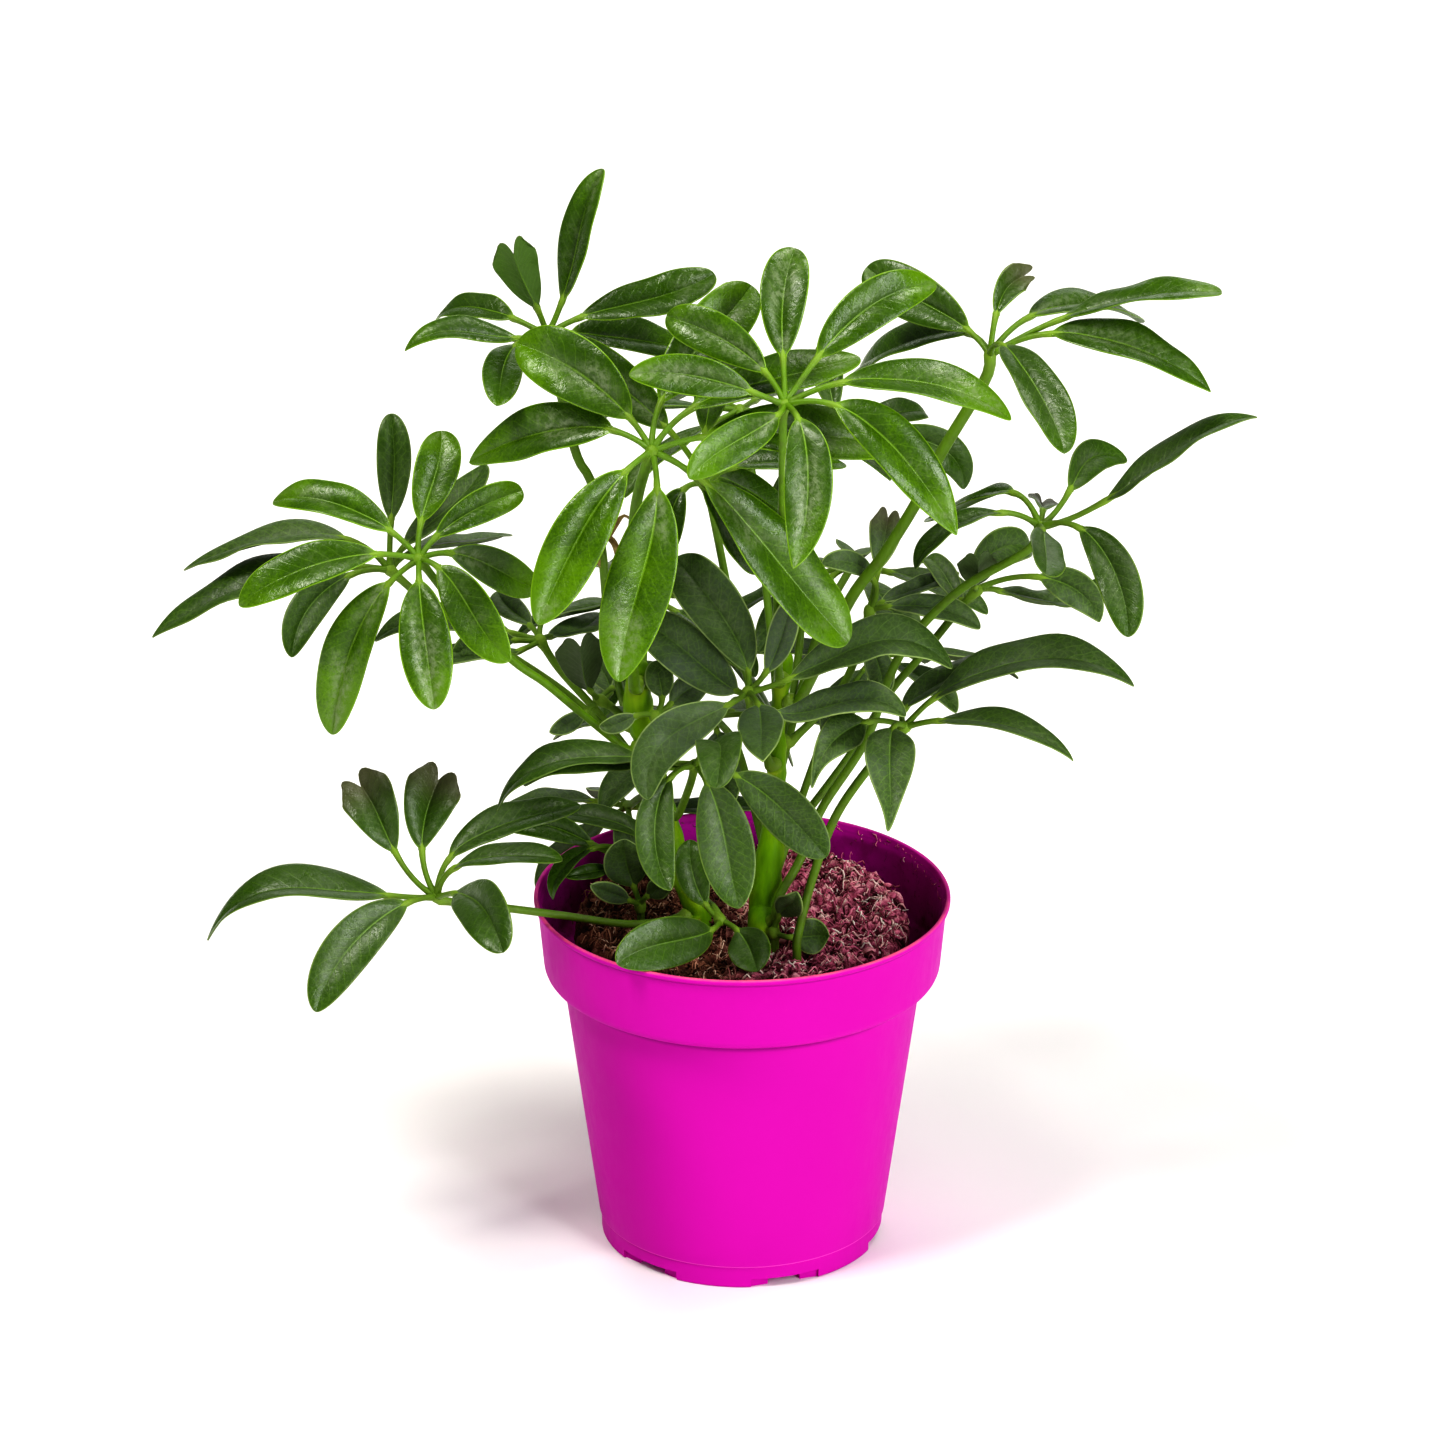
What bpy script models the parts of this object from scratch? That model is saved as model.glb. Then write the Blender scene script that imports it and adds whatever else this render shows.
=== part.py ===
"""Dwarf umbrella tree in a round nursery pot.

Metres in the scene, millimetres in the code, +Z up. The origin is the middle of the pot's foot, on the floor.
Every compound leaf is one grown piece: a petiole, a hub and a fan of stalked leaflets. Leaves are laid out
from positions measured by eye in the photograph, in its pixels, with a depth towards the viewer in
millimetres. The pot's rim diameter gives the scale.
"""
import math
import random

import bpy
import numpy as np
from mathutils import Vector
from mathutils.bvhtree import BVHTree

MM = 0.001

# Pot, a 4 inch nursery size
RIM_DIAMETER = 105.0
POT_HEIGHT = 93.0
BAND_BOTTOM_RADIUS = 50.0
BAND_BOTTOM_Z = 74.0
BODY_TOP_RADIUS = 45.4
BODY_TOP_Z = 71.5
FOOT_RADIUS = 36.0
FOOT_RING = 3.0
FOOT_STEP_Z = 6.0
FOOT_STEP = 0.5
WALL = 1.1
FLOOR_THICKNESS = 1.4
LIP_DROP = 2.4
LIP_OVERHANG = 0.9
POT_SIDES = 48
SLOTS = 6
SLOT_HEIGHT = 2.4
SLOT_WIDTH = 8.5
RECESS_WIDTH = 18.0
RECESS_DEPTH = 2.0
SLOT_FIRST_ANGLE = 18.0

# Root ball
CLEARANCE = 0.35
SOIL_TOP_Z = 87.0
SOIL_SHOULDER_Z = 78.0
SOIL_TOP_RADIUS = 44.0
SOIL_SIDES = 36
SOIL_ROUGHNESS = 0.9
HOLE_FLOOR_Z = 62.0

# The photograph's viewpoint, fitted to the rim and the foot of the pot
VIEW_DISTANCE = 1500.0
VIEW_ELEVATION = math.radians(22.6)
VIEW_HEIGHT = 139.6
VIEW_SIDE = -4.96
FRAME_MIDDLE = 722.5
FOCAL_PIXELS = 6024.5
MM_PER_PIXEL = VIEW_DISTANCE / FOCAL_PIXELS

# Leaflets
SHORTEST_STALK = 5.0
STALK_HALF = 0.62
BLADE_HALF_THICKNESS = 0.55
FOLD = 0.26
DEEP_FOLD = 0.95
SLENDERNESS = 0.31
FOLD_LOSS = 1.0
PAD = 0.22
BENDS = (0, -3, 3, -6, 6, -9, 9, -13, 13, -17, 17, -22, 22, -28, 28)

# Share of the blade's length, share of its half width
OUTLINE = ((0.0, 0.14), (0.22, 0.72), (0.50, 1.0), (0.80, 0.80), (1.0, 0.14))

PETIOLE_RADIUS = 1.0
PETIOLE_BASE_RADIUS = 1.35
HUB_RADIUS = 1.6
THICK_PETIOLES = {"leaf_front_left": 1.35, "leaf_top_right": 1.45, "leaf_top_left": 1.15, "leaf_right": 1.1,
                  "leaf_low_right": 1.1}
PETIOLE_SIDES = 6
PETIOLE_STEPS = 6
STEM_SIDES = 12

# Stems: pixel x, pixel y, depth towards the viewer, radius. The first point stands on the soil.
STEMS = {
    "stem_main": (
        (762, 944, 16, 3.7),
        (764, 905, 13, 3.6),
        (770, 855, 10, 3.3),
        (775, 800, 8, 2.3),
        (777, 750, 6, 1.9),
        (779, 705, 4, 1.8),
        (785, 662, 2, 2.1),
    ),
    "stem_left": (
        (700, 925, 5, 2.9),
        (692, 900, 6, 2.8),
        (676, 850, -2, 2.6),
        (660, 790, -4, 2.5),
        (645, 735, -2, 2.7),
        (638, 700, 0, 3.5),
        (640, 672, 1, 2.9),
    ),
}

# A compound leaf: where it springs from, the pixel row of that place, its hub and the way points of its
# petiole (pixel x, pixel y, depth), the leaflets' full length from the hub, and the leaflets.
# A leaflet: blade's base, middle and tip in pixels, the width seen, and how far it leans towards the viewer,
# from -1 to 1. The letter n marks a deeply folded leaflet with a notched tip.
LEAVES = {
    "leaf_front_left": ("stem_left", 676, (652, 451, 42), ((646, 466, 41), (635, 513, 36), (630, 600, 23)), 66, (
        ((630, 418), (578, 372), (517, 343), 62, -0.4),
        ((612, 430), (545, 430), (468, 462), 48, -0.5),
        ((626, 471), (573, 548), (538, 624), 54, 0.5),
        ((657, 488), (638, 590), (619, 682), 63, 0.5),
        ((705, 482), (778, 558), (850, 642), 60, 0.5),
        ((703, 486), (735, 535), (760, 572), 30, -0.2),
        ((661, 402), (700, 345), (752, 284), 55, -0.6),
        ((692, 408), (780, 375), (860, 355), 40, -0.5),
        ((706, 436), (810, 432), (905, 445), 52, -0.4),
    )),
    "leaf_front_right": ("stem_main", 676, (785, 405, 46), ((783, 420, 45), (782, 510, 36), (777, 600, 20)), 58, (
        ((783, 357), (783, 300), (796, 247), 45, -0.6),
        ((765, 372), (715, 335), (665, 315), 42, -0.3),
        ((752, 392), (690, 375), (629, 375), 38, 0.1),
        ((778, 415), (738, 440), (690, 478), 38, 0.5),
        ((798, 418), (808, 490), (793, 567), 46, 0.7),
        ((835, 405), (903, 455), (957, 535), 50, 0.6),
        ((842, 382), (925, 380), (1013, 418), 37, 0.1),
        ((818, 357), (872, 305), (937, 285), 45, -0.6),
    )),
    "leaf_top_left": ("stem_left", 706, (547, 335, -5), ((575, 450, -5), (592, 485, -4), (603, 560, -3), (610, 640, -2)), 48, (
        ((562, 300), (577, 235), (602, 168), 31, -0.4),
        ((537, 308), (519, 270), (510, 240), 44, 0.5, "n"),
        ((513, 318), (475, 306), (434, 321), 26, -0.6),
        ((517, 338), (468, 330), (404, 350), 25, 0.2),
        ((516, 345), (502, 373), (497, 405), 38, 0.9),
        ((581, 317), (650, 298), (714, 272), 40, -0.5),
        ((572, 333), (625, 336), (690, 350), 36, -0.9),
    )),
    "leaf_top_right": ("stem_main", 700, (990, 355, 0), ((985, 380, 0), (940, 455, 0), (915, 505, 0), (880, 560, 0), (850, 600, 0)), 58, (
        ((968, 330), (925, 303), (866, 266), 50, -0.5),
        ((968, 333), (910, 338), (857, 370), 32, -0.9),
        ((996, 315), (1006, 290), (1034, 273), 30, -0.3, "n"),
        ((1030, 316), (1085, 302), (1140, 321), 24, -0.9),
        ((1062, 318), (1130, 296), (1222, 292), 23, 0.3),
        ((1052, 333), (1135, 345), (1212, 391), 38, 0.5),
        ((1003, 345), (1040, 390), (1065, 452), 42, 0.9),
    )),
    "leaf_left": ("stem_left", 742, (419, 559, 22), ((460, 610, 19), (512, 660, 15), (545, 683, 12), (580, 712, 7)), 50, (
        ((421, 522), (435, 475), (441, 430), 43, -0.5),
        ((436, 537), (478, 508), (523, 490), 33, -0.4),
        ((450, 553), (495, 568), (540, 590), 38, -0.5),
        ((438, 567), (470, 610), (510, 660), 45, 0.5),
        ((419, 580), (425, 640), (434, 709), 50, 0.8),
        ((389, 583), (348, 652), (331, 735), 48, 0.5),
        ((377, 554), (305, 567), (238, 605), 42, 0.2),
        ((391, 531), (330, 500), (272, 500), 35, -0.6),
    )),
    "leaf_far_left": ("stem_left", 760, (390, 570, -14), ((440, 612, -14), (508, 654, -14), (572, 698, -12)), 58, (
        ((391, 520), (394, 465), (390, 413), 34, -0.3),
        ((405, 545), (450, 505), (484, 462), 30, -0.6),
        ((415, 550), (460, 540), (506, 532), 16, -0.9),
        ((345, 538), (262, 539), (183, 569), 22, -0.4),
        ((358, 566), (250, 582), (152, 637), 35, 0.2),
        ((350, 575), (307, 610), (292, 657), 36, 0.5),
    )),
    "leaf_behind_front": ("stem_main", 722, (705, 484, 4), ((712, 510, 4), (723, 565, 3), (740, 650, 4)), 52, (
        ((667, 428), (620, 385), (573, 336), 45, -0.7),
        ((705, 433), (720, 355), (728, 282), 46, -0.6),
        ((733, 467), (790, 460), (845, 462), 25, -0.8),
        ((715, 477), (755, 492), (790, 520), 30, -0.5),
        ((684, 489), (668, 525), (655, 565), 30, 0.3),
    )),
    "leaf_inner_right": ("stem_main", 790, (845, 440, -20), ((815, 470, -22), (802, 540, -26), (800, 640, -24)), 44, (
        ((862, 425), (895, 412), (929, 413), 26, -0.6),
        ((885, 436), (938, 446), (966, 490), 36, -0.2),
        ((835, 410), (828, 375), (830, 335), 30, -0.6),
        ((820, 450), (795, 480), (778, 520), 30, -0.6),
    )),
    "leaf_right": ("stem_main", 928, (1040, 527, 5), ((1028, 550, 5), (957, 592, 5), (900, 655, 6), (866, 740, 7), (822, 808, 10), (800, 860, 13), (779, 897, 18)), 58, (
        ((1013, 492), (970, 500), (928, 517), 12, -0.6),
        ((1000, 512), (945, 530), (913, 568), 18, 0.3),
        ((1043, 510), (1043, 504), (1044, 497), 32, -0.5, "n"),
        ((1070, 490), (1084, 465), (1129, 459), 34, -0.6),
        ((1107, 499), (1175, 448), (1257, 415), 22, -0.2),
        ((1080, 528), (1117, 577), (1128, 636), 41, 0.7),
        ((1043, 530), (1047, 552), (1046, 574), 35, 0.8),
    )),
    "leaf_right_lower": ("stem_main", 830, (977, 590, -8), ((960, 608, -8), (922, 655, -7), (890, 692, -4), (850, 755, 0)), 40, (
        ((975, 585), (977, 570), (978, 552), 40, 0.6, "n"),
        ((975, 574), (992, 553), (1034, 552), 38, -0.7),
        ((1040, 577), (1068, 585), (1101, 623), 35, 0.2),
        ((1000, 590), (1050, 600), (1105, 575), 20, -0.9),
        ((962, 600), (945, 575), (920, 560), 22, -0.6),
    )),
    "leaf_low_right": ("soil", 793, (905, 727, 20), ((885, 748, 20), (838, 812, 20), (812, 880, 24), (797, 940, 29)), 58, (
        ((935, 697), (1040, 655), (1136, 684), 34, -0.3),
        ((940, 720), (1015, 725), (1074, 760), 22, 0.4),
        ((893, 728), (890, 775), (888, 830), 50, 0.7),
        ((866, 722), (830, 745), (812, 788), 40, 0.4),
        ((905, 708), (950, 675), (990, 653), 22, -0.7),
    )),
    "leaf_inner_back": ("stem_main", 742, (870, 610, -8), ((862, 640, -8), (840, 690, -6)), 40, (
        ((878, 570), (884, 540), (890, 508), 34, -0.3, "n"),
        ((873, 578), (850, 562), (822, 563), 22, 0.4),
        ((882, 602), (915, 588), (957, 569), 18, -0.6),
        ((886, 607), (930, 606), (981, 628), 25, 0.2),
        ((870, 640), (880, 670), (880, 700), 28, 0.5),
    )),
    "leaf_middle": ("stem_main", 762, (748, 692, 24), ((752, 715, 21), (764, 745, 14)), 52, (
        ((737, 691), (690, 655), (638, 622), 50, -0.5),
        ((748, 672), (713, 603), (673, 557), 54, -0.6),
        ((766, 672), (782, 635), (795, 595), 28, -0.5),
        ((775, 712), (845, 700), (906, 716), 32, 0.4),
        ((790, 678), (870, 640), (954, 667), 42, -0.2),
        ((728, 705), (668, 738), (648, 800), 45, 0.5),
        ((758, 705), (761, 732), (763, 761), 45, 0.8),
    )),
    "leaf_middle_low": ("stem_left", 812, (695, 765, 30), ((690, 785, 25), (678, 815, 11)), 48, (
        ((640, 765), (580, 757), (522, 785), 33, -0.2),
        ((640, 758), (566, 757), (494, 810), 26, -0.7),
        ((670, 778), (655, 840), (671, 890), 38, 0.7),
        ((707, 782), (727, 850), (739, 908), 54, 0.7),
        ((735, 775), (785, 812), (827, 857), 48, 0.5),
        ((706, 748), (719, 742), (716, 788), 45, 0.9),
    )),
    "leaf_low_left": ("stem_left", 868, (640, 865, 2), ((650, 867, 1),), 36, (
        ((592, 844), (550, 826), (507, 829), 28, -0.4),
        ((640, 838), (600, 817), (557, 813), 22, -0.6),
        ((592, 848), (562, 868), (552, 900), 18, 0.4),
        ((612, 868), (590, 872), (566, 876), 15, 0.3),
    )),
    "leaf_front_low_left": ("stem_left", 912, (437, 897, 25), ((445, 901, 25), (505, 908, 22), (560, 915, 19), (628, 924, 16)), 58, (
        ((388, 895), (296, 884), (205, 939), 30, 0.1),
        ((407, 903), (350, 947), (316, 1012), 48, 0.6),
        ((395, 852), (373, 806), (352, 776), 54, -0.4, "n"),
        ((422, 850), (428, 806), (444, 768), 56, -0.4, "n"),
        ((455, 893), (480, 905), (503, 952), 50, 0.9),
        ((450, 857), (510, 820), (580, 804), 32, -0.5),
        ((455, 867), (508, 854), (562, 858), 20, 0.3),
    )),
    "leaf_inner_left": ("stem_left", 728, (600, 700, -6), ((610, 706, -6), (620, 715, -4)), 40, (
        ((590, 690), (582, 665), (578, 636), 50, 0.3, "n"),
        ((610, 692), (605, 675), (596, 658), 30, -0.6),
        ((585, 712), (568, 724), (550, 732), 18, 0.3),
        ((612, 688), (636, 676), (660, 662), 24, -0.7),
    )),
    "leaf_inner_middle": ("stem_left", 750, (655, 716, 8), ((658, 725, 7),), 30, (
        ((660, 703), (660, 682), (657, 660), 28, -0.3),
        ((668, 706), (688, 690), (710, 684), 30, -0.3),
        ((640, 716), (622, 722), (600, 726), 18, 0.2),
    )),
    "leaf_back_left": ("stem_left", 778, (540, 640, -26), ((560, 670, -25), (600, 715, -18)), 46, (
        ((510, 632), (445, 618), (374, 640), 28, -0.3),
        ((515, 640), (485, 640), (452, 659), 26, 0.3),
        ((520, 650), (465, 655), (408, 682), 20, 0.6),
        ((542, 620), (560, 590), (585, 560), 26, -0.5),
        ((550, 636), (578, 628), (600, 610), 24, -0.8),
        ((530, 625), (512, 610), (498, 590), 26, -0.7),
    )),
    "leaf_over_rim": ("stem_left", 884, (720, 920, 26), ((714, 908, 22), (706, 900, 15)), 38, (
        ((712, 930), (670, 942), (618, 964), 50, 0.9),
        ((737, 930), (750, 950), (757, 971), 42, 0.45),
        ((706, 905), (692, 870), (690, 838), 32, -0.4),
    )),
    "shoot_right": ("soil", 775, (774, 932, 22), ((775, 939, 22),), 20, (
        ((781, 934), (803, 937), (829, 936), 36, 0.15),
        ((777, 922), (786, 908), (795, 894), 28, -0.6),
    )),
    "shoot_front_left": ("soil", 640, (640, 905, 6), ((641, 914, 6),), 26, (
        ((636, 893), (628, 870), (625, 840), 45, -0.2),
        ((645, 899), (656, 890), (669, 880), 22, 0.3),
        ((631, 901), (611, 893), (592, 886), 20, 0.5),
    )),
}

# Leaves at the back, which the photograph doesn't show: stem and its pixel row, hub (pixel x, pixel y,
# depth), leaflets, full length of a leaflet, droop in degrees and the first leaflet's direction in degrees
BACK_LEAVES = {
    "leaf_back_upper": ("stem_main", 684, (740, 410, -56), 7, 48, 14, 10),
    "leaf_back_right": ("stem_main", 772, (852, 565, -60), 7, 46, 20, 30),
    "leaf_back_upper_left": ("stem_left", 716, (648, 598, -58), 7, 44, 16, 0),
    "leaf_back_low": ("stem_main", 856, (714, 716, -64), 7, 46, 16, 18),
    "leaf_back_low_left": ("stem_left", 838, (628, 806, -54), 6, 40, 14, 40),
    "leaf_back_low_right": ("stem_main", 880, (876, 655, -58), 6, 40, 14, 5),
}
BACK_SEED = 5
BACK_RISE = 0.12

COLOURS = {
    "pot": (0.78, 0.01, 0.50, 1),
    "soil": (0.06, 0.03, 0.02, 1),
    "stem": (0.20, 0.28, 0.05, 1),
    "leaf": (0.07, 0.22, 0.02, 1),
}


def eye_point():
    """Where the photograph was taken from."""
    back = VIEW_DISTANCE * math.cos(VIEW_ELEVATION)
    up = VIEW_DISTANCE * math.sin(VIEW_ELEVATION)
    return Vector((VIEW_SIDE, -back, VIEW_HEIGHT + up))


EYE = eye_point()
SIGHT = Vector((0.0, math.cos(VIEW_ELEVATION), -math.sin(VIEW_ELEVATION)))
VIEW_UP = Vector((0.0, math.sin(VIEW_ELEVATION), math.cos(VIEW_ELEVATION)))
VIEW_RIGHT = Vector((1.0, 0.0, 0.0))


def sight_line(px, py):
    """Direction of the line of sight through a pixel."""
    right = (px - FRAME_MIDDLE) / FOCAL_PIXELS
    down = (py - FRAME_MIDDLE) / FOCAL_PIXELS
    return SIGHT + VIEW_RIGHT * right - VIEW_UP * down


def spot(px, py, forward):
    """The point seen at a pixel, on the upright plane that is forward of the pot's axis."""
    line = sight_line(px, py)
    reach = (-forward - EYE.y) / line.y
    return EYE + line * reach


def ground_spot(px, py, height):
    """The point seen at a pixel, at a given height."""
    line = sight_line(px, py)
    reach = (height - EYE.z) / line.z
    return EYE + line * reach


def lerp(a, b, share):
    return a + (b - a) * share


def smooth_path(points, steps):
    """A smooth curve through points, as steps + 1 evenly spaced points."""
    ends = [points[0] * 2 - points[1]] + list(points) + [points[-1] * 2 - points[-2]]
    fine = []
    for i in range(len(points) - 1):
        a, b, c, d = ends[i:i + 4]
        for k in range(8):
            t = k / 8
            fine.append(0.5 * (2 * b + (c - a) * t + (2 * a - 5 * b + 4 * c - d) * t * t
                               + (3 * b - a - 3 * c + d) * t ** 3))
    fine.append(points[-1])
    lengths = [0.0]
    for a, b in zip(fine, fine[1:]):
        lengths.append(lengths[-1] + (b - a).length)
    result = []
    j = 0
    for k in range(steps + 1):
        goal = lengths[-1] * k / steps
        while j < len(fine) - 2 and lengths[j + 1] < goal:
            j += 1
        span = max(lengths[j + 1] - lengths[j], 1e-9)
        result.append(lerp(fine[j], fine[j + 1], (goal - lengths[j]) / span))
    return result


def tangents(path):
    result = []
    for i in range(len(path)):
        a = path[max(i - 1, 0)]
        b = path[min(i + 1, len(path) - 1)]
        result.append((b - a).normalized())
    return result


def tube(path, radii, sides):
    """A round bar along a path, with flat ends."""
    verts = []
    faces = []
    side = None
    for point, along, radius in zip(path, tangents(path), radii):
        if side is None:
            side = along.orthogonal()
        side = (side - along * side.dot(along)).normalized()
        other = along.cross(side)
        for k in range(sides):
            turn = math.tau * k / sides
            verts.append(point + (side * math.cos(turn) + other * math.sin(turn)) * radius)
    for i in range(len(path) - 1):
        for k in range(sides):
            a = i * sides + k
            b = i * sides + (k + 1) % sides
            faces.append((a, b, b + sides))
            faces.append((a, b + sides, a + sides))
    last = (len(path) - 1) * sides
    for k in range(1, sides - 1):
        faces.append((0, k + 1, k))
        faces.append((last, last + k, last + k + 1))
    return verts, faces


class Leaflet:
    """A stalked blade along a curved midrib: hub, base of the blade, middle and tip."""

    def __init__(self, knots, half_width, side, notched=False, eye=None):
        self.knots = knots
        self.half_width = half_width
        self.side = side
        self.notched = notched
        self.eye = eye
        steps = [(b - a).length for a, b in zip(knots, knots[1:])]
        total = sum(steps)
        self.times = (0.0, steps[0] / total, (steps[0] + steps[1]) / total, 1.0)
        self.start = self.times[1]

    def bent(self, amount):
        """The same leaflet bent towards the viewer, or upwards at the back of the plant."""
        knots = []
        for knot, time in zip(self.knots, self.times):
            push = Vector((0, 0, 1)) if self.eye is None else (self.eye - knot).normalized()
            knots.append(knot + push * amount * time ** 1.6)
        return Leaflet(knots, self.half_width, self.side, self.notched, self.eye)

    def point(self, t):
        """The cubic through the four knots."""
        result = Vector((0, 0, 0))
        for i, knot in enumerate(self.knots):
            weight = 1.0
            for k in range(4):
                if k != i:
                    weight *= (t - self.times[k]) / (self.times[i] - self.times[k])
            result += knot * weight
        return result

    def along(self, t):
        step = 0.02
        return (self.point(min(t + step, 1.0)) - self.point(max(t - step, 0.0))).normalized()

    def mesh(self, pad=0.0):
        """Closed blade with a four-cornered section: two edges, a rib above and a keel below."""
        rings = []
        stalk = STALK_HALF + pad
        rings.append(self.ring(0.0, stalk, stalk, 0.0, 0.0))
        fold = DEEP_FOLD if self.notched else FOLD
        for share, width in OUTLINE:
            t = self.start + (1 - self.start) * share
            half = max(self.half_width * width, STALK_HALF) + pad
            thick = BLADE_HALF_THICKNESS * (1.0 if share < 0.9 else 0.8) + pad
            back = 0.0
            if self.notched and share == 1.0:
                half = self.half_width * 0.62 + pad
                back = 0.16
            rings.append(self.ring(t, half, thick, fold * half * min(share * 4, 1), back))
        verts = [v for ring in rings for v in ring]
        faces = []
        for i in range(len(rings) - 1):
            for k in range(4):
                a = 4 * i + k
                b = 4 * i + (k + 1) % 4
                if k % 2 == 0:
                    faces.append((a, b, b + 4))
                    faces.append((a, b + 4, a + 4))
                else:
                    faces.append((a, b, a + 4))
                    faces.append((b, b + 4, a + 4))
        last = 4 * (len(rings) - 1)
        faces.append((0, 2, 1))
        faces.append((0, 3, 2))
        faces.append((last, last + 1, last + 3))
        faces.append((last + 1, last + 2, last + 3))
        return verts, faces

    def ring(self, t, half, thick, lift, back):
        along = self.along(t)
        side = (self.side - along * self.side.dot(along)).normalized()
        up = side.cross(along)
        middle = self.point(t - back * (1 - self.start)) - up * lift * 0.5
        edge = self.point(t) + up * lift * 0.5
        return (
            edge - side * half,
            middle + up * thick,
            edge + side * half,
            middle - up * thick,
        )


def roll_to_width(along, crown, seen_share):
    """Side direction of a blade that shows the measured share of its width, turned least from natural."""
    side = along.cross(crown)
    if side.length < 0.15:
        side = along.cross(VIEW_UP)
    side.normalize()
    up = side.cross(along)
    across = along.cross(SIGHT)
    if across.length < 1e-3:
        return side
    across.normalize()
    natural = math.atan2(up.dot(across), side.dot(across))
    open_angle = math.acos(min(max(seen_share, 0.0), 1.0))
    turns = []
    for base in (natural + open_angle, natural - open_angle,
                 natural + math.pi - open_angle, natural - math.pi + open_angle):
        turns.append(math.atan2(math.sin(base), math.cos(base)))
    turn = min(turns, key=abs)
    return side * math.cos(turn) + up * math.sin(turn)


def crown_of(hub, below):
    """Which way a leaf's umbrella faces: on along its petiole, but mostly up."""
    return ((hub - below).normalized() + Vector((0, -0.35, 1.4))).normalized()


def photo_leaflet(hub, hub_forward, crown, full, row):
    base_px, mid_px, tip_px, width_px, lean = row[:5]
    notched = len(row) > 5
    hub_line = (hub - EYE).normalized()
    flat = spot(tip_px[0], tip_px[1], hub_forward) - hub
    seen = (flat - hub_line * flat.dot(hub_line)).length
    depth = math.sqrt(max(full * full - seen * seen, 0.0)) * math.cos(VIEW_ELEVATION)
    tip = spot(tip_px[0], tip_px[1], hub_forward + lean * depth)
    mid_share = 0.66 if lean > 0 else 0.56
    mid = spot(mid_px[0], mid_px[1], hub_forward + lean * depth * mid_share)
    base = spot(base_px[0], base_px[1], hub_forward + lean * depth * 0.25)
    if (base - hub).length < SHORTEST_STALK:
        base = hub + (base - hub).normalized() * SHORTEST_STALK
    length = (mid - base).length + (tip - mid).length
    seen_width = width_px * MM_PER_PIXEL * FOLD_LOSS
    width = max(length * SLENDERNESS, seen_width)
    along = (tip - base).normalized()
    side = roll_to_width(along, crown, seen_width / width)
    return Leaflet((hub, base, mid, tip), width / 2, side, notched, EYE)


def stem_axis(name):
    """Axis points of a stem, from the soil's surface up."""
    points = STEMS[name]
    foot = ground_spot(points[0][0], points[0][1], SOIL_TOP_Z)
    foot.z += 2.0
    return [foot] + [spot(px, py, forward) for px, py, forward, radius in points[1:]]


def stem_point(name, row):
    """Axis point, direction and radius of a stem at a pixel row."""
    rows = STEMS[name]
    axis = stem_axis(name)
    for i in range(len(rows) - 1):
        if rows[i + 1][1] <= row <= rows[i][1]:
            break
    share = (rows[i][1] - row) / (rows[i][1] - rows[i + 1][1])
    share = min(max(share, 0.0), 1.0)
    along = (axis[i + 1] - axis[i]).normalized()
    return lerp(axis[i], axis[i + 1], share), along, lerp(rows[i][3], rows[i + 1][3], share)


def leave_stem(stem, row, goal):
    """First two points of a petiole: its foot, square to the stem, and the bend where it turns upwards."""
    axis, along, radius = stem_point(stem, row)
    outward = goal - axis
    outward -= along * outward.dot(along)
    outward.normalize()
    foot = axis + outward * (radius + CLEARANCE + 0.15)
    bend = axis + outward * (radius + 2.9) + along * 0.4
    return [foot, bend]


def petiole_path(stem, row, hub, way):
    """Points of a petiole from its foot to the hub."""
    points = [spot(*p) for p in way][::-1]
    points.append(hub)
    if stem == "soil":
        foot = points[0]
        low = Vector((foot.x, foot.y, HOLE_FLOOR_Z + 0.5))
        return [low, Vector((foot.x, foot.y, SOIL_TOP_Z + 2.5))] + points
    return leave_stem(stem, row, points[0]) + points


def petiole_mesh(name, path, pad=0.0):
    """A leaf's petiole: a round bar sprung from its two first points and ending in a domed hub."""
    radius = THICK_PETIOLES.get(name, PETIOLE_RADIUS)
    line = [path[0]] + smooth_path(path[1:], PETIOLE_STEPS)
    radii = [max(PETIOLE_BASE_RADIUS, radius)] * 2 + [radius] * (len(line) - 3) + [HUB_RADIUS]
    line.append(line[-1] + (line[-1] - line[-2]).normalized() * HUB_RADIUS)
    radii.append(HUB_RADIUS * 0.6)
    return tube(line, [r + pad for r in radii], PETIOLE_SIDES)


def back_leaflets(hub, count, full, droop, first, draw):
    """A fan of drooping leaflets around a hub."""
    result = []
    for k in range(count):
        turn = math.radians(first + 360.0 * k / count + draw.uniform(-7, 7))
        length = full * draw.uniform(0.82, 1.0)
        fall = math.radians(droop + draw.uniform(-8, 10))
        out = Vector((math.cos(turn), math.sin(turn), 0))
        tip = hub + out * length * math.cos(fall) - Vector((0, 0, length * math.sin(fall)))
        side = Vector((out.y, -out.x, draw.uniform(-0.3, 0.3))).normalized()
        knots = []
        for share, rise in ((0.0, 0.0), (draw.uniform(0.22, 0.28), 0.05), (0.62, 0.09), (1.0, 0.0)):
            knots.append(lerp(hub, tip, share) + Vector((0, 0, length * rise)))
        result.append(Leaflet(knots, length * 0.13, side))
    return result


def box_of(verts):
    array = np.array([tuple(v) for v in verts])
    return array.min(axis=0), array.max(axis=0)


class Obstacle:
    def __init__(self, owner, verts, faces):
        self.owner = owner
        self.low, self.high = box_of(verts)
        self.tree = BVHTree.FromPolygons([tuple(v) for v in verts], faces)

    def meets(self, other):
        if (self.low > other.high).any() or (other.low > self.high).any():
            return False
        return bool(self.tree.overlap(other.tree))


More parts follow.
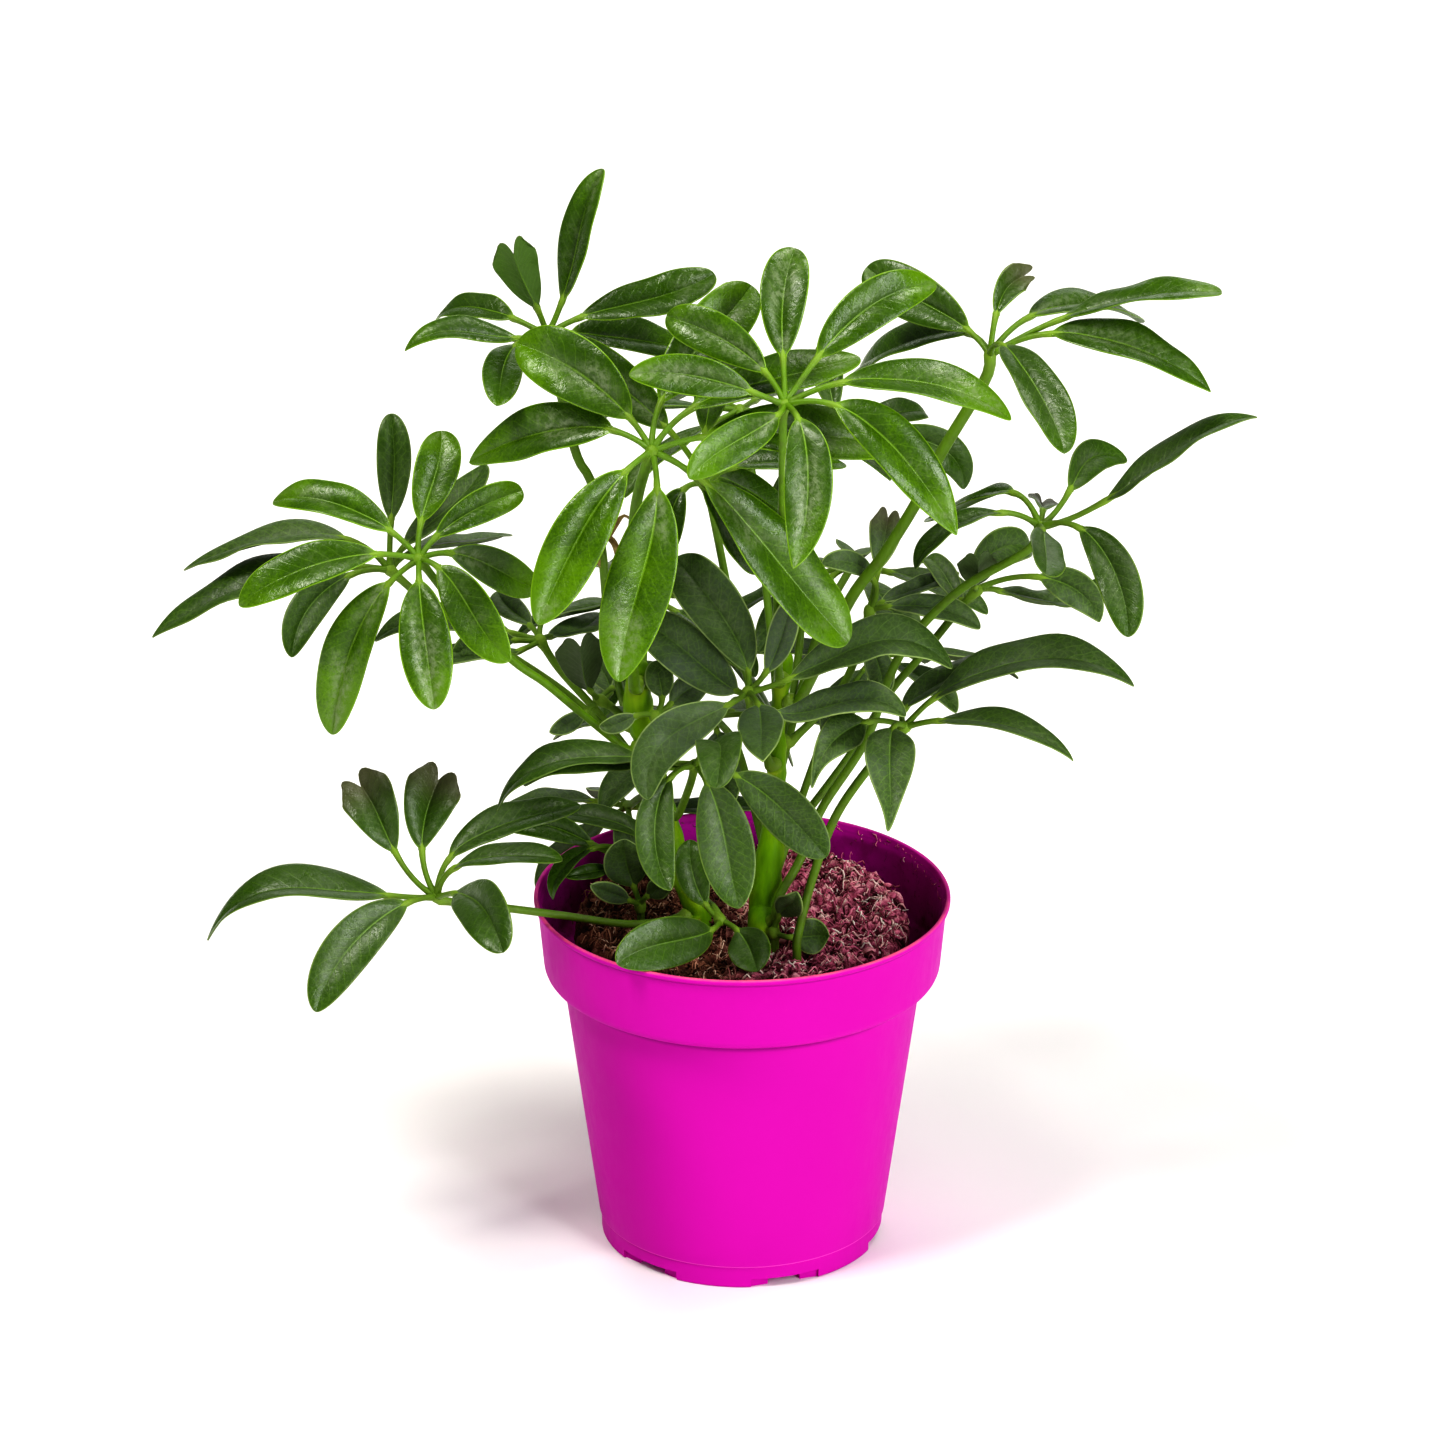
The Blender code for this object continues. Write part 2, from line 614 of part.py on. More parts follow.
def clear_of(solid, obstacles):
    return not any(o.owner != solid.owner and o.meets(solid) for o in obstacles)


def settle(name, leaflet, obstacles):
    """Bend a leaflet by the least amount that takes it clear of every other leaf, stem and pot."""
    for amount in BENDS:
        trial = leaflet.bent(amount)
        solid = Obstacle(name, *trial.mesh(PAD))
        if clear_of(solid, obstacles):
            obstacles.append(solid)
            return trial
    return None


def new_object(name, verts, faces, colour):
    mesh = bpy.data.meshes.new(name)
    mesh.from_pydata([tuple(Vector(v) * MM) for v in verts], [], faces)
    mesh.update()
    obj = bpy.data.objects.new(name, mesh)
    bpy.context.scene.collection.objects.link(obj)
    obj.data.materials.append(material(colour))
    return obj


def material(name):
    found = bpy.data.materials.get(name)
    if found:
        return found
    made = bpy.data.materials.new(name)
    made.use_nodes = True
    made.node_tree.nodes["Principled BSDF"].inputs["Base Color"].default_value = COLOURS[name]
    made.diffuse_color = COLOURS[name]
    return made


def apply_modifiers(obj):
    graph = bpy.context.evaluated_depsgraph_get()
    mesh = bpy.data.meshes.new_from_object(obj.evaluated_get(graph))
    obj.modifiers.clear()
    old = obj.data
    obj.data = mesh
    mesh.name = obj.name
    bpy.data.meshes.remove(old)


def fuse(name, solids, colour):
    """One body from a petiole and its leaflets."""
    body = new_object(name, *solids[0], colour)
    group = bpy.data.collections.new(name + "_parts")
    bpy.context.scene.collection.children.link(group)
    for i, (verts, faces) in enumerate(solids[1:]):
        part = new_object(f"{name}_part_{i}", verts, faces, colour)
        bpy.context.scene.collection.objects.unlink(part)
        group.objects.link(part)
    join = body.modifiers.new("join", "BOOLEAN")
    join.operation = "UNION"
    join.operand_type = "COLLECTION"
    join.collection = group
    join.solver = "MANIFOLD"
    apply_modifiers(body)
    for part in list(group.objects):
        bpy.data.objects.remove(part)
    bpy.data.collections.remove(group)
    return body


def cut(body, cutters):
    """Take cutters out of a body."""
    for verts, faces in cutters:
        tool = new_object("cutter", verts, faces, "soil")
        tool.hide_render = True
        tool.display_type = "WIRE"
        hole = body.modifiers.new("hole", "BOOLEAN")
        hole.operation = "DIFFERENCE"
        hole.solver = "EXACT"
        hole.object = tool
        apply_modifiers(body)
        bpy.data.objects.remove(tool)


def turned(profile, sides):
    """A turned solid from a profile of radius and height, from axis to axis."""
    verts = []
    faces = []
    rings = []
    for radius, z in profile:
        if radius == 0:
            rings.append([len(verts)])
            verts.append(Vector((0, 0, z)))
            continue
        ring = []
        for k in range(sides):
            turn = math.tau * k / sides
            ring.append(len(verts))
            verts.append(Vector((radius * math.cos(turn), radius * math.sin(turn), z)))
        rings.append(ring)
    for low, high in zip(rings, rings[1:]):
        for k in range(sides):
            n = (k + 1) % sides
            if len(low) == 1:
                faces.append((low[0], high[n], high[k]))
            elif len(high) == 1:
                faces.append((low[k], low[n], high[0]))
            else:
                faces.append((low[k], low[n], high[n], high[k]))
    return verts, faces


def pot_profile():
    """Outside from the middle of the foot up to the lip, then the inside down to the floor."""
    rim = RIM_DIAMETER / 2
    top = POT_HEIGHT
    body = BODY_TOP_RADIUS
    return (
        (0, 0),
        (FOOT_RADIUS - 0.6, 0),
        (FOOT_RADIUS, 0.6),
        (FOOT_RADIUS + 0.1, FOOT_STEP_Z - 0.4),
        (FOOT_RADIUS + 0.1 + FOOT_STEP, FOOT_STEP_Z),
        (body, BODY_TOP_Z),
        (body + 2.4, BODY_TOP_Z + 1.0),
        (BAND_BOTTOM_RADIUS - 0.6, BAND_BOTTOM_Z - 0.6),
        (BAND_BOTTOM_RADIUS, BAND_BOTTOM_Z + 0.4),
        (rim - LIP_OVERHANG, top - LIP_DROP),
        (rim, top - LIP_DROP + 0.5),
        (rim, top - 0.6),
        (rim - 0.6, top),
        (rim - 1.6, top),
        (rim - LIP_OVERHANG - WALL, top - 0.8),
        (BAND_BOTTOM_RADIUS - WALL, BAND_BOTTOM_Z + 1.6),
        (BAND_BOTTOM_RADIUS - WALL - 1.2, BAND_BOTTOM_Z + 0.8),
        (body - WALL + 1.0, BODY_TOP_Z + 1.8),
        (body - WALL, BODY_TOP_Z + 0.8),
        (FOOT_RADIUS + FOOT_STEP + 0.1 - WALL, FOOT_STEP_Z + 0.6),
        (FOOT_RADIUS - FOOT_RING, FOOT_STEP_Z - 1.6),
        (FOOT_RADIUS - FOOT_RING, FLOOR_THICKNESS),
        (0, FLOOR_THICKNESS),
    )


def foot_cutter(angle, width, depth):
    """A block across the edge of the foot, as wide and as deep as given."""
    out = Vector((math.sin(angle), -math.cos(angle), 0))
    side = Vector((math.cos(angle), math.sin(angle), 0))
    inner = FOOT_RADIUS - depth
    outer = FOOT_RADIUS + 2.5
    verts = []
    for z in (-1.0, SLOT_HEIGHT):
        for r, s in ((inner, -1), (outer, -1), (outer, 1), (inner, 1)):
            verts.append(out * r + side * s * width / 2 + Vector((0, 0, z)))
    faces = ((0, 3, 2, 1), (4, 5, 6, 7), (0, 1, 5, 4), (1, 2, 6, 5), (2, 3, 7, 6), (3, 0, 4, 7))
    return verts, faces


def build_pot():
    """The pot, with a recess and a drainage slot through the foot ring at each of six places."""
    pot = new_object("pot", *turned(pot_profile(), POT_SIDES), "pot")
    cutters = []
    for k in range(SLOTS):
        angle = math.radians(SLOT_FIRST_ANGLE + 360.0 * k / SLOTS)
        cutters.append(foot_cutter(angle, RECESS_WIDTH, RECESS_DEPTH))
        cutters.append(foot_cutter(angle, SLOT_WIDTH, FOOT_RING + 1.5))
    cut(pot, cutters)
    return pot


def soil_solid():
    """Root ball: fills the body of the pot and stands proud, with a rough top that stops short of the band."""
    draw = random.Random(11)
    inside = BODY_TOP_RADIUS - WALL - CLEARANCE
    low = FOOT_RADIUS - FOOT_RING - CLEARANCE
    rings = (
        (low, FLOOR_THICKNESS + 0.3, 0, 0),
        (low, FOOT_STEP_Z - 1.6, 0, 0),
        (inside - 0.3, BODY_TOP_Z - 1.0, 0, 0),
        (SOIL_TOP_RADIUS - 1.0, SOIL_SHOULDER_Z + 1.2, 0.9, 0.4),
        (SOIL_TOP_RADIUS - 2.2, SOIL_TOP_Z - 1.6, 1.4, 0.8),
        (34.0, SOIL_TOP_Z, 1.2, SOIL_ROUGHNESS),
        (24.0, SOIL_TOP_Z, 1.2, SOIL_ROUGHNESS),
        (13.0, SOIL_TOP_Z, 1.0, SOIL_ROUGHNESS),
    )
    verts = [Vector((0, 0, FLOOR_THICKNESS + 0.3))]
    faces = []
    for radius, z, wander, rough in rings:
        for k in range(SOIL_SIDES):
            turn = math.tau * k / SOIL_SIDES
            r = radius + draw.uniform(-wander, 0.0)
            verts.append(Vector((r * math.cos(turn), r * math.sin(turn), z + draw.uniform(-rough, rough))))
    verts.append(Vector((0, 0, SOIL_TOP_Z)))
    for k in range(SOIL_SIDES):
        n = (k + 1) % SOIL_SIDES
        faces.append((0, 1 + n, 1 + k))
        for i in range(len(rings) - 1):
            a = 1 + i * SOIL_SIDES
            b = a + SOIL_SIDES
            faces.append((a + k, a + n, b + n))
            faces.append((a + k, b + n, b + k))
        last = 1 + (len(rings) - 1) * SOIL_SIDES
        faces.append((last + k, last + n, len(verts) - 1))
    return verts, faces


def stem_solid(name, pad=0.0):
    """A stem from the bottom of its hole up to its rounded top node."""
    path = stem_axis(name)
    radii = [row[3] for row in STEMS[name]]
    path.insert(0, Vector((path[0].x, path[0].y, HOLE_FLOOR_Z + 0.5)))
    radii.insert(0, radii[0])
    path.append(path[-1] + (path[-1] - path[-2]).normalized() * 3.0)
    radii.append(radii[-1] * 0.45)
    return tube(path, [r + pad for r in radii], STEM_SIDES)


def hole_cutter(foot, radius):
    path = [Vector((foot.x, foot.y, HOLE_FLOOR_Z)), Vector((foot.x, foot.y, SOIL_TOP_Z + 9.0))]
    return tube(path, [radius + CLEARANCE] * 2, 14)


def build():
    for old in list(bpy.data.objects):
        bpy.data.objects.remove(old)
    obstacles = []
    holes = []
    pot = build_pot()
    obstacles.append(Obstacle("pot", *turned(pot_profile(), POT_SIDES)))
    obstacles.append(Obstacle("soil", *soil_solid()))
    for name in STEMS:
        new_object(name, *stem_solid(name), "stem")
        obstacles.append(Obstacle(name, *stem_solid(name, PAD)))
        foot = ground_spot(STEMS[name][0][0], STEMS[name][0][1], SOIL_TOP_Z)
        holes.append(hole_cutter(foot, STEMS[name][0][3]))

    solids = {}
    crowns = {}
    for name, (stem, row, hub_at, way, full, rows) in LEAVES.items():
        hub = spot(*hub_at)
        path = petiole_path(stem, row, hub, way)
        solids[name] = [petiole_mesh(name, path)]
        crowns[name] = crown_of(hub, path[-2])
        foot_free = path if stem != "soil" else path[1:]
        obstacles.append(Obstacle(name, *petiole_mesh(name, foot_free, PAD)))
        if stem == "soil":
            holes.append(hole_cutter(path[0], PETIOLE_BASE_RADIUS))
    for name, (stem, row, hub_at, count, full, droop, first) in BACK_LEAVES.items():
        hub = spot(*hub_at)
        start = leave_stem(stem, row, hub)
        bow = lerp(start[1], hub, 0.5) + Vector((0, 0, BACK_RISE * (hub - start[1]).length))
        path = start + [bow, hub]
        solids[name] = [petiole_mesh(name, path)]
        obstacles.append(Obstacle(name, *petiole_mesh(name, path, PAD)))

    lost = []
    for name, (stem, row, hub_at, way, full, rows) in LEAVES.items():
        hub = spot(*hub_at)
        for i, values in enumerate(rows):
            leaflet = settle(name, photo_leaflet(hub, hub_at[2], crowns[name], full, values), obstacles)
            if leaflet is None:
                lost.append((name, i))
                continue
            solids[name].append(leaflet.mesh())
    draw = random.Random(BACK_SEED)
    for name, (stem, row, hub_at, count, full, droop, first) in BACK_LEAVES.items():
        for i, leaflet in enumerate(back_leaflets(spot(*hub_at), count, full, droop, first, draw)):
            leaflet = settle(name, leaflet, obstacles)
            if leaflet is None:
                lost.append((name, i))
                continue
            solids[name].append(leaflet.mesh())
    for name, parts in solids.items():
        fuse(name, parts, "leaf")
    soil = new_object("soil", *soil_solid(), "soil")
    cut(soil, holes)
    print("left out:", lost)


build()
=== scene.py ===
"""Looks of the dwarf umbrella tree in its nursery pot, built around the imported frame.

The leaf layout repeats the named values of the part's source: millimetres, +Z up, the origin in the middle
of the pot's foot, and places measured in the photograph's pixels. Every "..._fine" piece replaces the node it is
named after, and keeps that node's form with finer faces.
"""
import math
import random
from functools import partialmethod
from itertools import accumulate

import bmesh
import bpy
import numpy as np
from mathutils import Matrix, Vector, kdtree, noise


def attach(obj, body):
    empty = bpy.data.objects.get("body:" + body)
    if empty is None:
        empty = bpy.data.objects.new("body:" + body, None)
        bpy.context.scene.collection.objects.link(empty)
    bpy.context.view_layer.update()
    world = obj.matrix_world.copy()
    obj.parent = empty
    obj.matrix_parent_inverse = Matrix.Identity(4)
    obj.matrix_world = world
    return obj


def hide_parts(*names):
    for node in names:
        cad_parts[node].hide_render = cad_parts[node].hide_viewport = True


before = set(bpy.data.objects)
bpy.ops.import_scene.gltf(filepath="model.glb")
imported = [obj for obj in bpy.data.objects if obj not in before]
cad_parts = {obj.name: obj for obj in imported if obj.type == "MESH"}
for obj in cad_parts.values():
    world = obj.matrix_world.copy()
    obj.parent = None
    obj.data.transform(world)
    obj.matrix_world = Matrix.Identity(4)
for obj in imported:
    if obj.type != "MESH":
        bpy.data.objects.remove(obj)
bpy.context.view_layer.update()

MM = 0.001

# Pot
RIM_RADIUS = 52.5
POT_HEIGHT = 93.0
BAND_BOTTOM_RADIUS = 50.0
BAND_BOTTOM_Z = 74.0
BODY_TOP_RADIUS = 45.4
BODY_TOP_Z = 71.5
FOOT_RADIUS = 36.0
FOOT_RING = 3.0
FOOT_STEP_Z = 6.0
FOOT_STEP = 0.5
FLOOR_EDGE_Z = FOOT_STEP_Z - 1.6
WALL = 1.1
FLOOR_THICKNESS = 1.4
LIP_DROP = 1.7
LIP_OVERHANG = 0.9
KNEE_DROP = 3.0
LIP_WIDTH = 1.45
LIP_DEPTH = 1.3
POT_SIDES = 216
CORNER_STEPS = 4
LONGEST_FACE = 3.0
SHARP_ANGLE = math.radians(40)
SLOTS = 6
SLOT_HEIGHT = 2.4
SLOT_WIDTH = 8.5
RECESS_WIDTH = 18.0
RECESS_DEPTH = 2.0
SLOT_FIRST_ANGLE = 18.0

# Root ball
CLEARANCE = 0.35
SOIL_TOP_Z = 87.0
SOIL_SHOULDER_Z = 78.0
SOIL_TOP_RADIUS = 44.0
SOIL_EDGE_DROP = 1.6
SOIL_SECTORS = 260
SOIL_RINGS = 84
HOLE_FLOOR_Z = 62.0
# A low mound in the soil: x, y, height and reach
MOUND = (20.0, 27.0, 2.4, 17.0)
FIBRES = 2600
FIBRE_STEPS = 6
LONG_FIBRE = 4.2
FIBRE_SHADES = (0.02, 0.08, 0.15, 0.22, 0.35, 0.45, 0.55, 0.68, 0.82, 1.0)
STUCK_FIBRES = 75
CRUMBS = 1200
FIBRE_SEED = 23
CRUMB_SEED = 31

# The photograph's viewpoint, fitted to the rim and the foot of the pot
VIEW_DISTANCE = 1500.0
VIEW_ELEVATION = math.radians(22.6)
VIEW_HEIGHT = 139.6
VIEW_SIDE = -4.96
FRAME_PIXELS = 1445
FRAME_MIDDLE = FRAME_PIXELS / 2
FOCAL_PIXELS = 6024.5
MM_PER_PIXEL = VIEW_DISTANCE / FOCAL_PIXELS
EYE = Vector((VIEW_SIDE, -VIEW_DISTANCE * math.cos(VIEW_ELEVATION),
              VIEW_HEIGHT + VIEW_DISTANCE * math.sin(VIEW_ELEVATION)))
SIGHT = Vector((0.0, math.cos(VIEW_ELEVATION), -math.sin(VIEW_ELEVATION)))
VIEW_UP = Vector((0.0, math.sin(VIEW_ELEVATION), math.cos(VIEW_ELEVATION)))
VIEW_RIGHT = Vector((1.0, 0.0, 0.0))

# Leaflets, as in the frame
SHORTEST_STALK = 5.0
STALK_HALF = 0.62
BLADE_HALF_THICKNESS = 0.55
FOLD = 0.26
DEEP_FOLD = 0.95
SLENDERNESS = 0.31
BENDS = (0, -3, 3, -6, 6, -9, 9, -13, 13, -17, 17, -22, 22, -28, 28)
TIP_SHARE = 0.14
NOTCH_SHARE = 0.62
NOTCH_DEPTH = 0.16

PETIOLE_RADIUS = 1.0
HUB_RADIUS = 1.6
THICK_PETIOLES = {"leaf_front_left": 1.35, "leaf_top_right": 1.45, "leaf_top_left": 1.15, "leaf_right": 1.1,
                  "leaf_low_right": 1.1}

# Stems: pixel x, pixel y, depth towards the viewer, radius. The first point stands on the soil.
STEMS = {
    "stem_main": ((762, 944, 16, 3.7), (764, 905, 13, 3.6), (770, 855, 10, 3.3), (775, 800, 8, 2.3),
                  (777, 750, 6, 1.9), (779, 705, 4, 1.8), (785, 662, 2, 2.1)),
    "stem_left": ((700, 925, 5, 2.9), (692, 900, 6, 2.8), (676, 850, -2, 2.6), (660, 790, -4, 2.5),
                  (645, 735, -2, 2.7), (638, 700, 0, 3.5), (640, 672, 1, 2.9)),
}

# A compound leaf: what it springs from, the pixel row of that place on a stem, its hub (pixel x, pixel y,
# depth towards the viewer), the leaflets' full length from the hub, its vigour from 0, an old dark leaf, to 1,
# a young bright one, its leaflets' forms, the way points of its petiole, and the leaflets.
# A form: r round, m blunt, p pointed, t tailed, n deeply folded with a notched tip.
# A leaflet: blade's base x and y, middle x and y, tip x and y, and the width seen, all in pixels, and how far
# it leans towards the viewer, from -1 to 1.
LEAVES = {
    "leaf_front_left": ("stem_left", 676, (652, 451, 42), 66, 0.76, "rpmmrmrmm",
        ((646, 466, 41), (635, 513, 36), (630, 600, 23)), (
        (630, 418, 578, 372, 517, 343, 62, -0.4), (612, 430, 545, 430, 468, 462, 48, -0.5),
        (626, 471, 573, 548, 538, 624, 54, 0.5), (657, 488, 638, 590, 619, 682, 63, 0.5),
        (705, 482, 778, 558, 850, 642, 60, 0.5), (703, 486, 735, 535, 760, 572, 30, -0.2),
        (661, 402, 700, 345, 752, 284, 55, -0.6), (692, 408, 780, 375, 860, 355, 40, -0.5),
        (706, 436, 810, 432, 905, 445, 52, -0.4))),
    "leaf_front_right": ("stem_main", 676, (785, 405, 46), 58, 0.7, "rrmmppmm",
        ((783, 420, 45), (782, 510, 36), (777, 600, 20)), (
        (783, 357, 783, 300, 796, 247, 45, -0.6), (765, 372, 715, 335, 665, 315, 42, -0.3),
        (752, 392, 690, 375, 629, 375, 38, 0.1), (778, 415, 738, 440, 690, 478, 38, 0.5),
        (798, 418, 808, 490, 793, 567, 46, 0.7), (835, 405, 903, 455, 957, 535, 50, 0.6),
        (842, 382, 925, 380, 1013, 418, 37, 0.1), (818, 357, 872, 305, 937, 285, 45, -0.6))),
    "leaf_top_left": ("stem_left", 706, (547, 335, -5), 48, 0.58, "mnppmrm",
        ((575, 450, -5), (592, 485, -4), (603, 560, -3), (610, 640, -2)), (
        (562, 300, 577, 235, 602, 168, 31, -0.4), (537, 308, 519, 270, 510, 240, 44, 0.5),
        (513, 318, 475, 306, 434, 321, 26, -0.6), (517, 338, 468, 330, 404, 350, 25, 0.2),
        (516, 345, 502, 373, 497, 405, 38, 0.9), (581, 317, 650, 298, 714, 272, 40, -0.5),
        (572, 333, 625, 336, 690, 350, 36, -0.9))),
    "leaf_top_right": ("stem_main", 700, (990, 355, 0), 58, 0.54, "rmnmrpm",
        ((985, 380, 0), (940, 455, 0), (915, 505, 0), (880, 560, 0), (850, 600, 0)), (
        (968, 330, 925, 303, 866, 266, 50, -0.5), (968, 333, 910, 338, 857, 370, 32, -0.9),
        (996, 315, 1006, 290, 1034, 273, 30, -0.3), (1030, 316, 1085, 302, 1140, 321, 24, -0.9),
        (1062, 318, 1130, 296, 1222, 292, 23, 0.3), (1052, 333, 1135, 345, 1212, 391, 38, 0.5),
        (1003, 345, 1040, 390, 1065, 452, 42, 0.9))),
    "leaf_left": ("stem_left", 742, (419, 559, 22), 50, 0.76, "rrmmmmmm",
        ((460, 610, 19), (512, 660, 15), (545, 683, 12), (580, 712, 7)), (
        (421, 522, 435, 475, 441, 430, 43, -0.5), (436, 537, 478, 508, 523, 490, 33, -0.4),
        (450, 553, 495, 568, 540, 590, 38, -0.5), (438, 567, 470, 610, 510, 660, 45, 0.5),
        (419, 580, 425, 640, 434, 709, 50, 0.8), (389, 583, 348, 652, 331, 735, 48, 0.5),
        (377, 554, 305, 567, 238, 605, 42, 0.2), (391, 531, 330, 500, 272, 500, 35, -0.6))),
    "leaf_far_left": ("stem_left", 760, (390, 570, -14), 58, 0.36, "rmmppm",
        ((440, 612, -14), (508, 654, -14), (572, 698, -12)), (
        (391, 520, 394, 465, 390, 413, 34, -0.3), (405, 545, 450, 505, 484, 462, 30, -0.6),
        (415, 550, 460, 540, 506, 532, 16, -0.9), (345, 538, 262, 539, 183, 569, 22, -0.4),
        (358, 566, 250, 582, 152, 637, 35, 0.2), (350, 575, 307, 610, 292, 657, 36, 0.5))),
    "leaf_behind_front": ("stem_main", 722, (705, 484, 4), 52, 0.6, "mrmmm",
        ((712, 510, 4), (723, 565, 3), (740, 650, 4)), (
        (667, 428, 620, 385, 573, 336, 45, -0.7), (705, 433, 720, 355, 728, 282, 46, -0.6),
        (733, 467, 790, 460, 845, 462, 25, -0.8), (715, 477, 755, 492, 790, 520, 30, -0.5),
        (684, 489, 668, 525, 655, 565, 30, 0.3))),
    "leaf_inner_right": ("stem_main", 790, (845, 440, -20), 44, 0.45, "mmmm",
        ((815, 470, -22), (802, 540, -26), (800, 640, -24)), (
        (862, 425, 895, 412, 929, 413, 26, -0.6), (885, 436, 938, 446, 966, 490, 36, -0.2),
        (835, 410, 828, 375, 830, 335, 30, -0.6), (820, 450, 795, 480, 778, 520, 30, -0.6))),
    "leaf_right": ("stem_main", 928, (1040, 527, 5), 58, 0.42, "mmnmpmr",
        ((1028, 550, 5), (957, 592, 5), (900, 655, 6), (866, 740, 7), (822, 808, 10), (800, 860, 13),
         (779, 897, 18)), (
        (1013, 492, 970, 500, 928, 517, 12, -0.6), (1000, 512, 945, 530, 913, 568, 18, 0.3),
        (1043, 510, 1043, 504, 1044, 497, 32, -0.5), (1070, 490, 1084, 465, 1129, 459, 34, -0.6),
        (1107, 499, 1175, 448, 1257, 415, 22, -0.2), (1080, 528, 1117, 577, 1128, 636, 41, 0.7),
        (1043, 530, 1047, 552, 1046, 574, 35, 0.8))),
    "leaf_right_lower": ("stem_main", 830, (977, 590, -8), 40, 0.3, "nmpmm",
        ((960, 608, -8), (922, 655, -7), (890, 692, -4), (850, 755, 0)), (
        (975, 585, 977, 570, 978, 552, 40, 0.6), (975, 574, 992, 553, 1034, 552, 38, -0.7),
        (1040, 577, 1068, 585, 1101, 623, 35, 0.2), (1000, 590, 1050, 600, 1105, 575, 20, -0.9),
        (962, 600, 945, 575, 920, 560, 22, -0.6))),
    "leaf_low_right": ("soil", 793, (905, 727, 20), 58, 0.32, "mpttm",
        ((885, 748, 20), (838, 812, 20), (812, 880, 24), (797, 940, 29)), (
        (935, 697, 1040, 655, 1136, 684, 34, -0.3), (940, 720, 1015, 725, 1074, 760, 22, 0.4),
        (893, 728, 890, 775, 888, 830, 50, 0.7), (866, 722, 830, 745, 812, 788, 40, 0.4),
        (905, 708, 950, 675, 990, 653, 22, -0.7))),
    "leaf_inner_back": ("stem_main", 742, (870, 610, -8), 40, 0.2, "nmmmm", ((862, 640, -8), (840, 690, -6)), (
        (878, 570, 884, 540, 890, 508, 34, -0.3), (873, 578, 850, 562, 822, 563, 22, 0.4),
        (882, 602, 915, 588, 957, 569, 18, -0.6), (886, 607, 930, 606, 981, 628, 25, 0.2),
        (870, 640, 880, 670, 880, 700, 28, 0.5))),
    "leaf_middle": ("stem_main", 762, (748, 692, 24), 52, 0.14, "mrmmmmp", ((752, 715, 21), (764, 745, 14)), (
        (737, 691, 690, 655, 638, 622, 50, -0.5), (748, 672, 713, 603, 673, 557, 54, -0.6),
        (766, 672, 782, 635, 795, 595, 28, -0.5), (775, 712, 845, 700, 906, 716, 32, 0.4),
        (790, 678, 870, 640, 954, 667, 42, -0.2), (728, 705, 668, 738, 648, 800, 45, 0.5),
        (758, 705, 761, 732, 763, 761, 45, 0.8))),
    "leaf_middle_low": ("stem_left", 812, (695, 765, 30), 48, 0.36, "mpmmmr",
        ((690, 785, 25), (678, 815, 11)), (
        (640, 765, 580, 757, 522, 785, 33, -0.2), (640, 758, 566, 757, 494, 810, 26, -0.7),
        (670, 778, 655, 840, 671, 890, 38, 0.7), (707, 782, 727, 850, 739, 908, 54, 0.7),
        (735, 775, 785, 812, 827, 857, 48, 0.5), (706, 748, 719, 742, 716, 788, 45, 0.9))),
    "leaf_low_left": ("stem_left", 868, (640, 865, 2), 36, 0.46, "mmpm", ((650, 867, 1),), (
        (592, 844, 550, 826, 507, 829, 28, -0.4), (640, 838, 600, 817, 557, 813, 22, -0.6),
        (592, 848, 562, 868, 552, 900, 18, 0.4), (612, 868, 590, 872, 566, 876, 15, 0.3))),
    "leaf_front_low_left": ("stem_left", 912, (437, 897, 25), 58, 0.44, "pmnnrmm",
        ((445, 901, 25), (505, 908, 22), (560, 915, 19), (628, 924, 16)), (
        (388, 895, 296, 884, 205, 939, 30, 0.1), (407, 903, 350, 947, 316, 1012, 48, 0.6),
        (395, 852, 373, 806, 352, 776, 54, -0.4), (422, 850, 428, 806, 444, 768, 56, -0.4),
        (455, 893, 480, 905, 503, 952, 50, 0.9), (450, 857, 510, 820, 580, 804, 32, -0.5),
        (455, 867, 508, 854, 562, 858, 20, 0.3))),
    "leaf_inner_left": ("stem_left", 728, (600, 700, -6), 40, 0.18, "nmmm", ((610, 706, -6), (620, 715, -4)), (
        (590, 690, 582, 665, 578, 636, 50, 0.3), (610, 692, 605, 675, 596, 658, 30, -0.6),
        (585, 712, 568, 724, 550, 732, 18, 0.3), (612, 688, 636, 676, 660, 662, 24, -0.7))),
    "leaf_inner_middle": ("stem_left", 750, (655, 716, 8), 30, 0.18, "mmm", ((658, 725, 7),), (
        (660, 703, 660, 682, 657, 660, 28, -0.3), (668, 706, 688, 690, 710, 684, 30, -0.3),
        (640, 716, 622, 722, 600, 726, 18, 0.2))),
    "leaf_back_left": ("stem_left", 778, (540, 640, -26), 46, 0.22, "mmmmmm",
        ((560, 670, -25), (600, 715, -18)), (
        (510, 632, 445, 618, 374, 640, 28, -0.3), (515, 640, 485, 640, 452, 659, 26, 0.3),
        (520, 650, 465, 655, 408, 682, 20, 0.6), (542, 620, 560, 590, 585, 560, 26, -0.5),
        (550, 636, 578, 628, 600, 610, 24, -0.8), (530, 625, 512, 610, 498, 590, 26, -0.7))),
    "leaf_over_rim": ("stem_left", 884, (720, 920, 26), 38, 0.42, "mmm", ((714, 908, 22), (706, 900, 15)), (
        (712, 930, 670, 942, 618, 964, 50, 0.9), (737, 930, 750, 950, 757, 971, 42, 0.45),
        (706, 905, 692, 870, 690, 838, 32, -0.4))),
    "shoot_right": ("soil", None, (774, 932, 22), 20, 0.18, "mm", ((775, 939, 22),), (
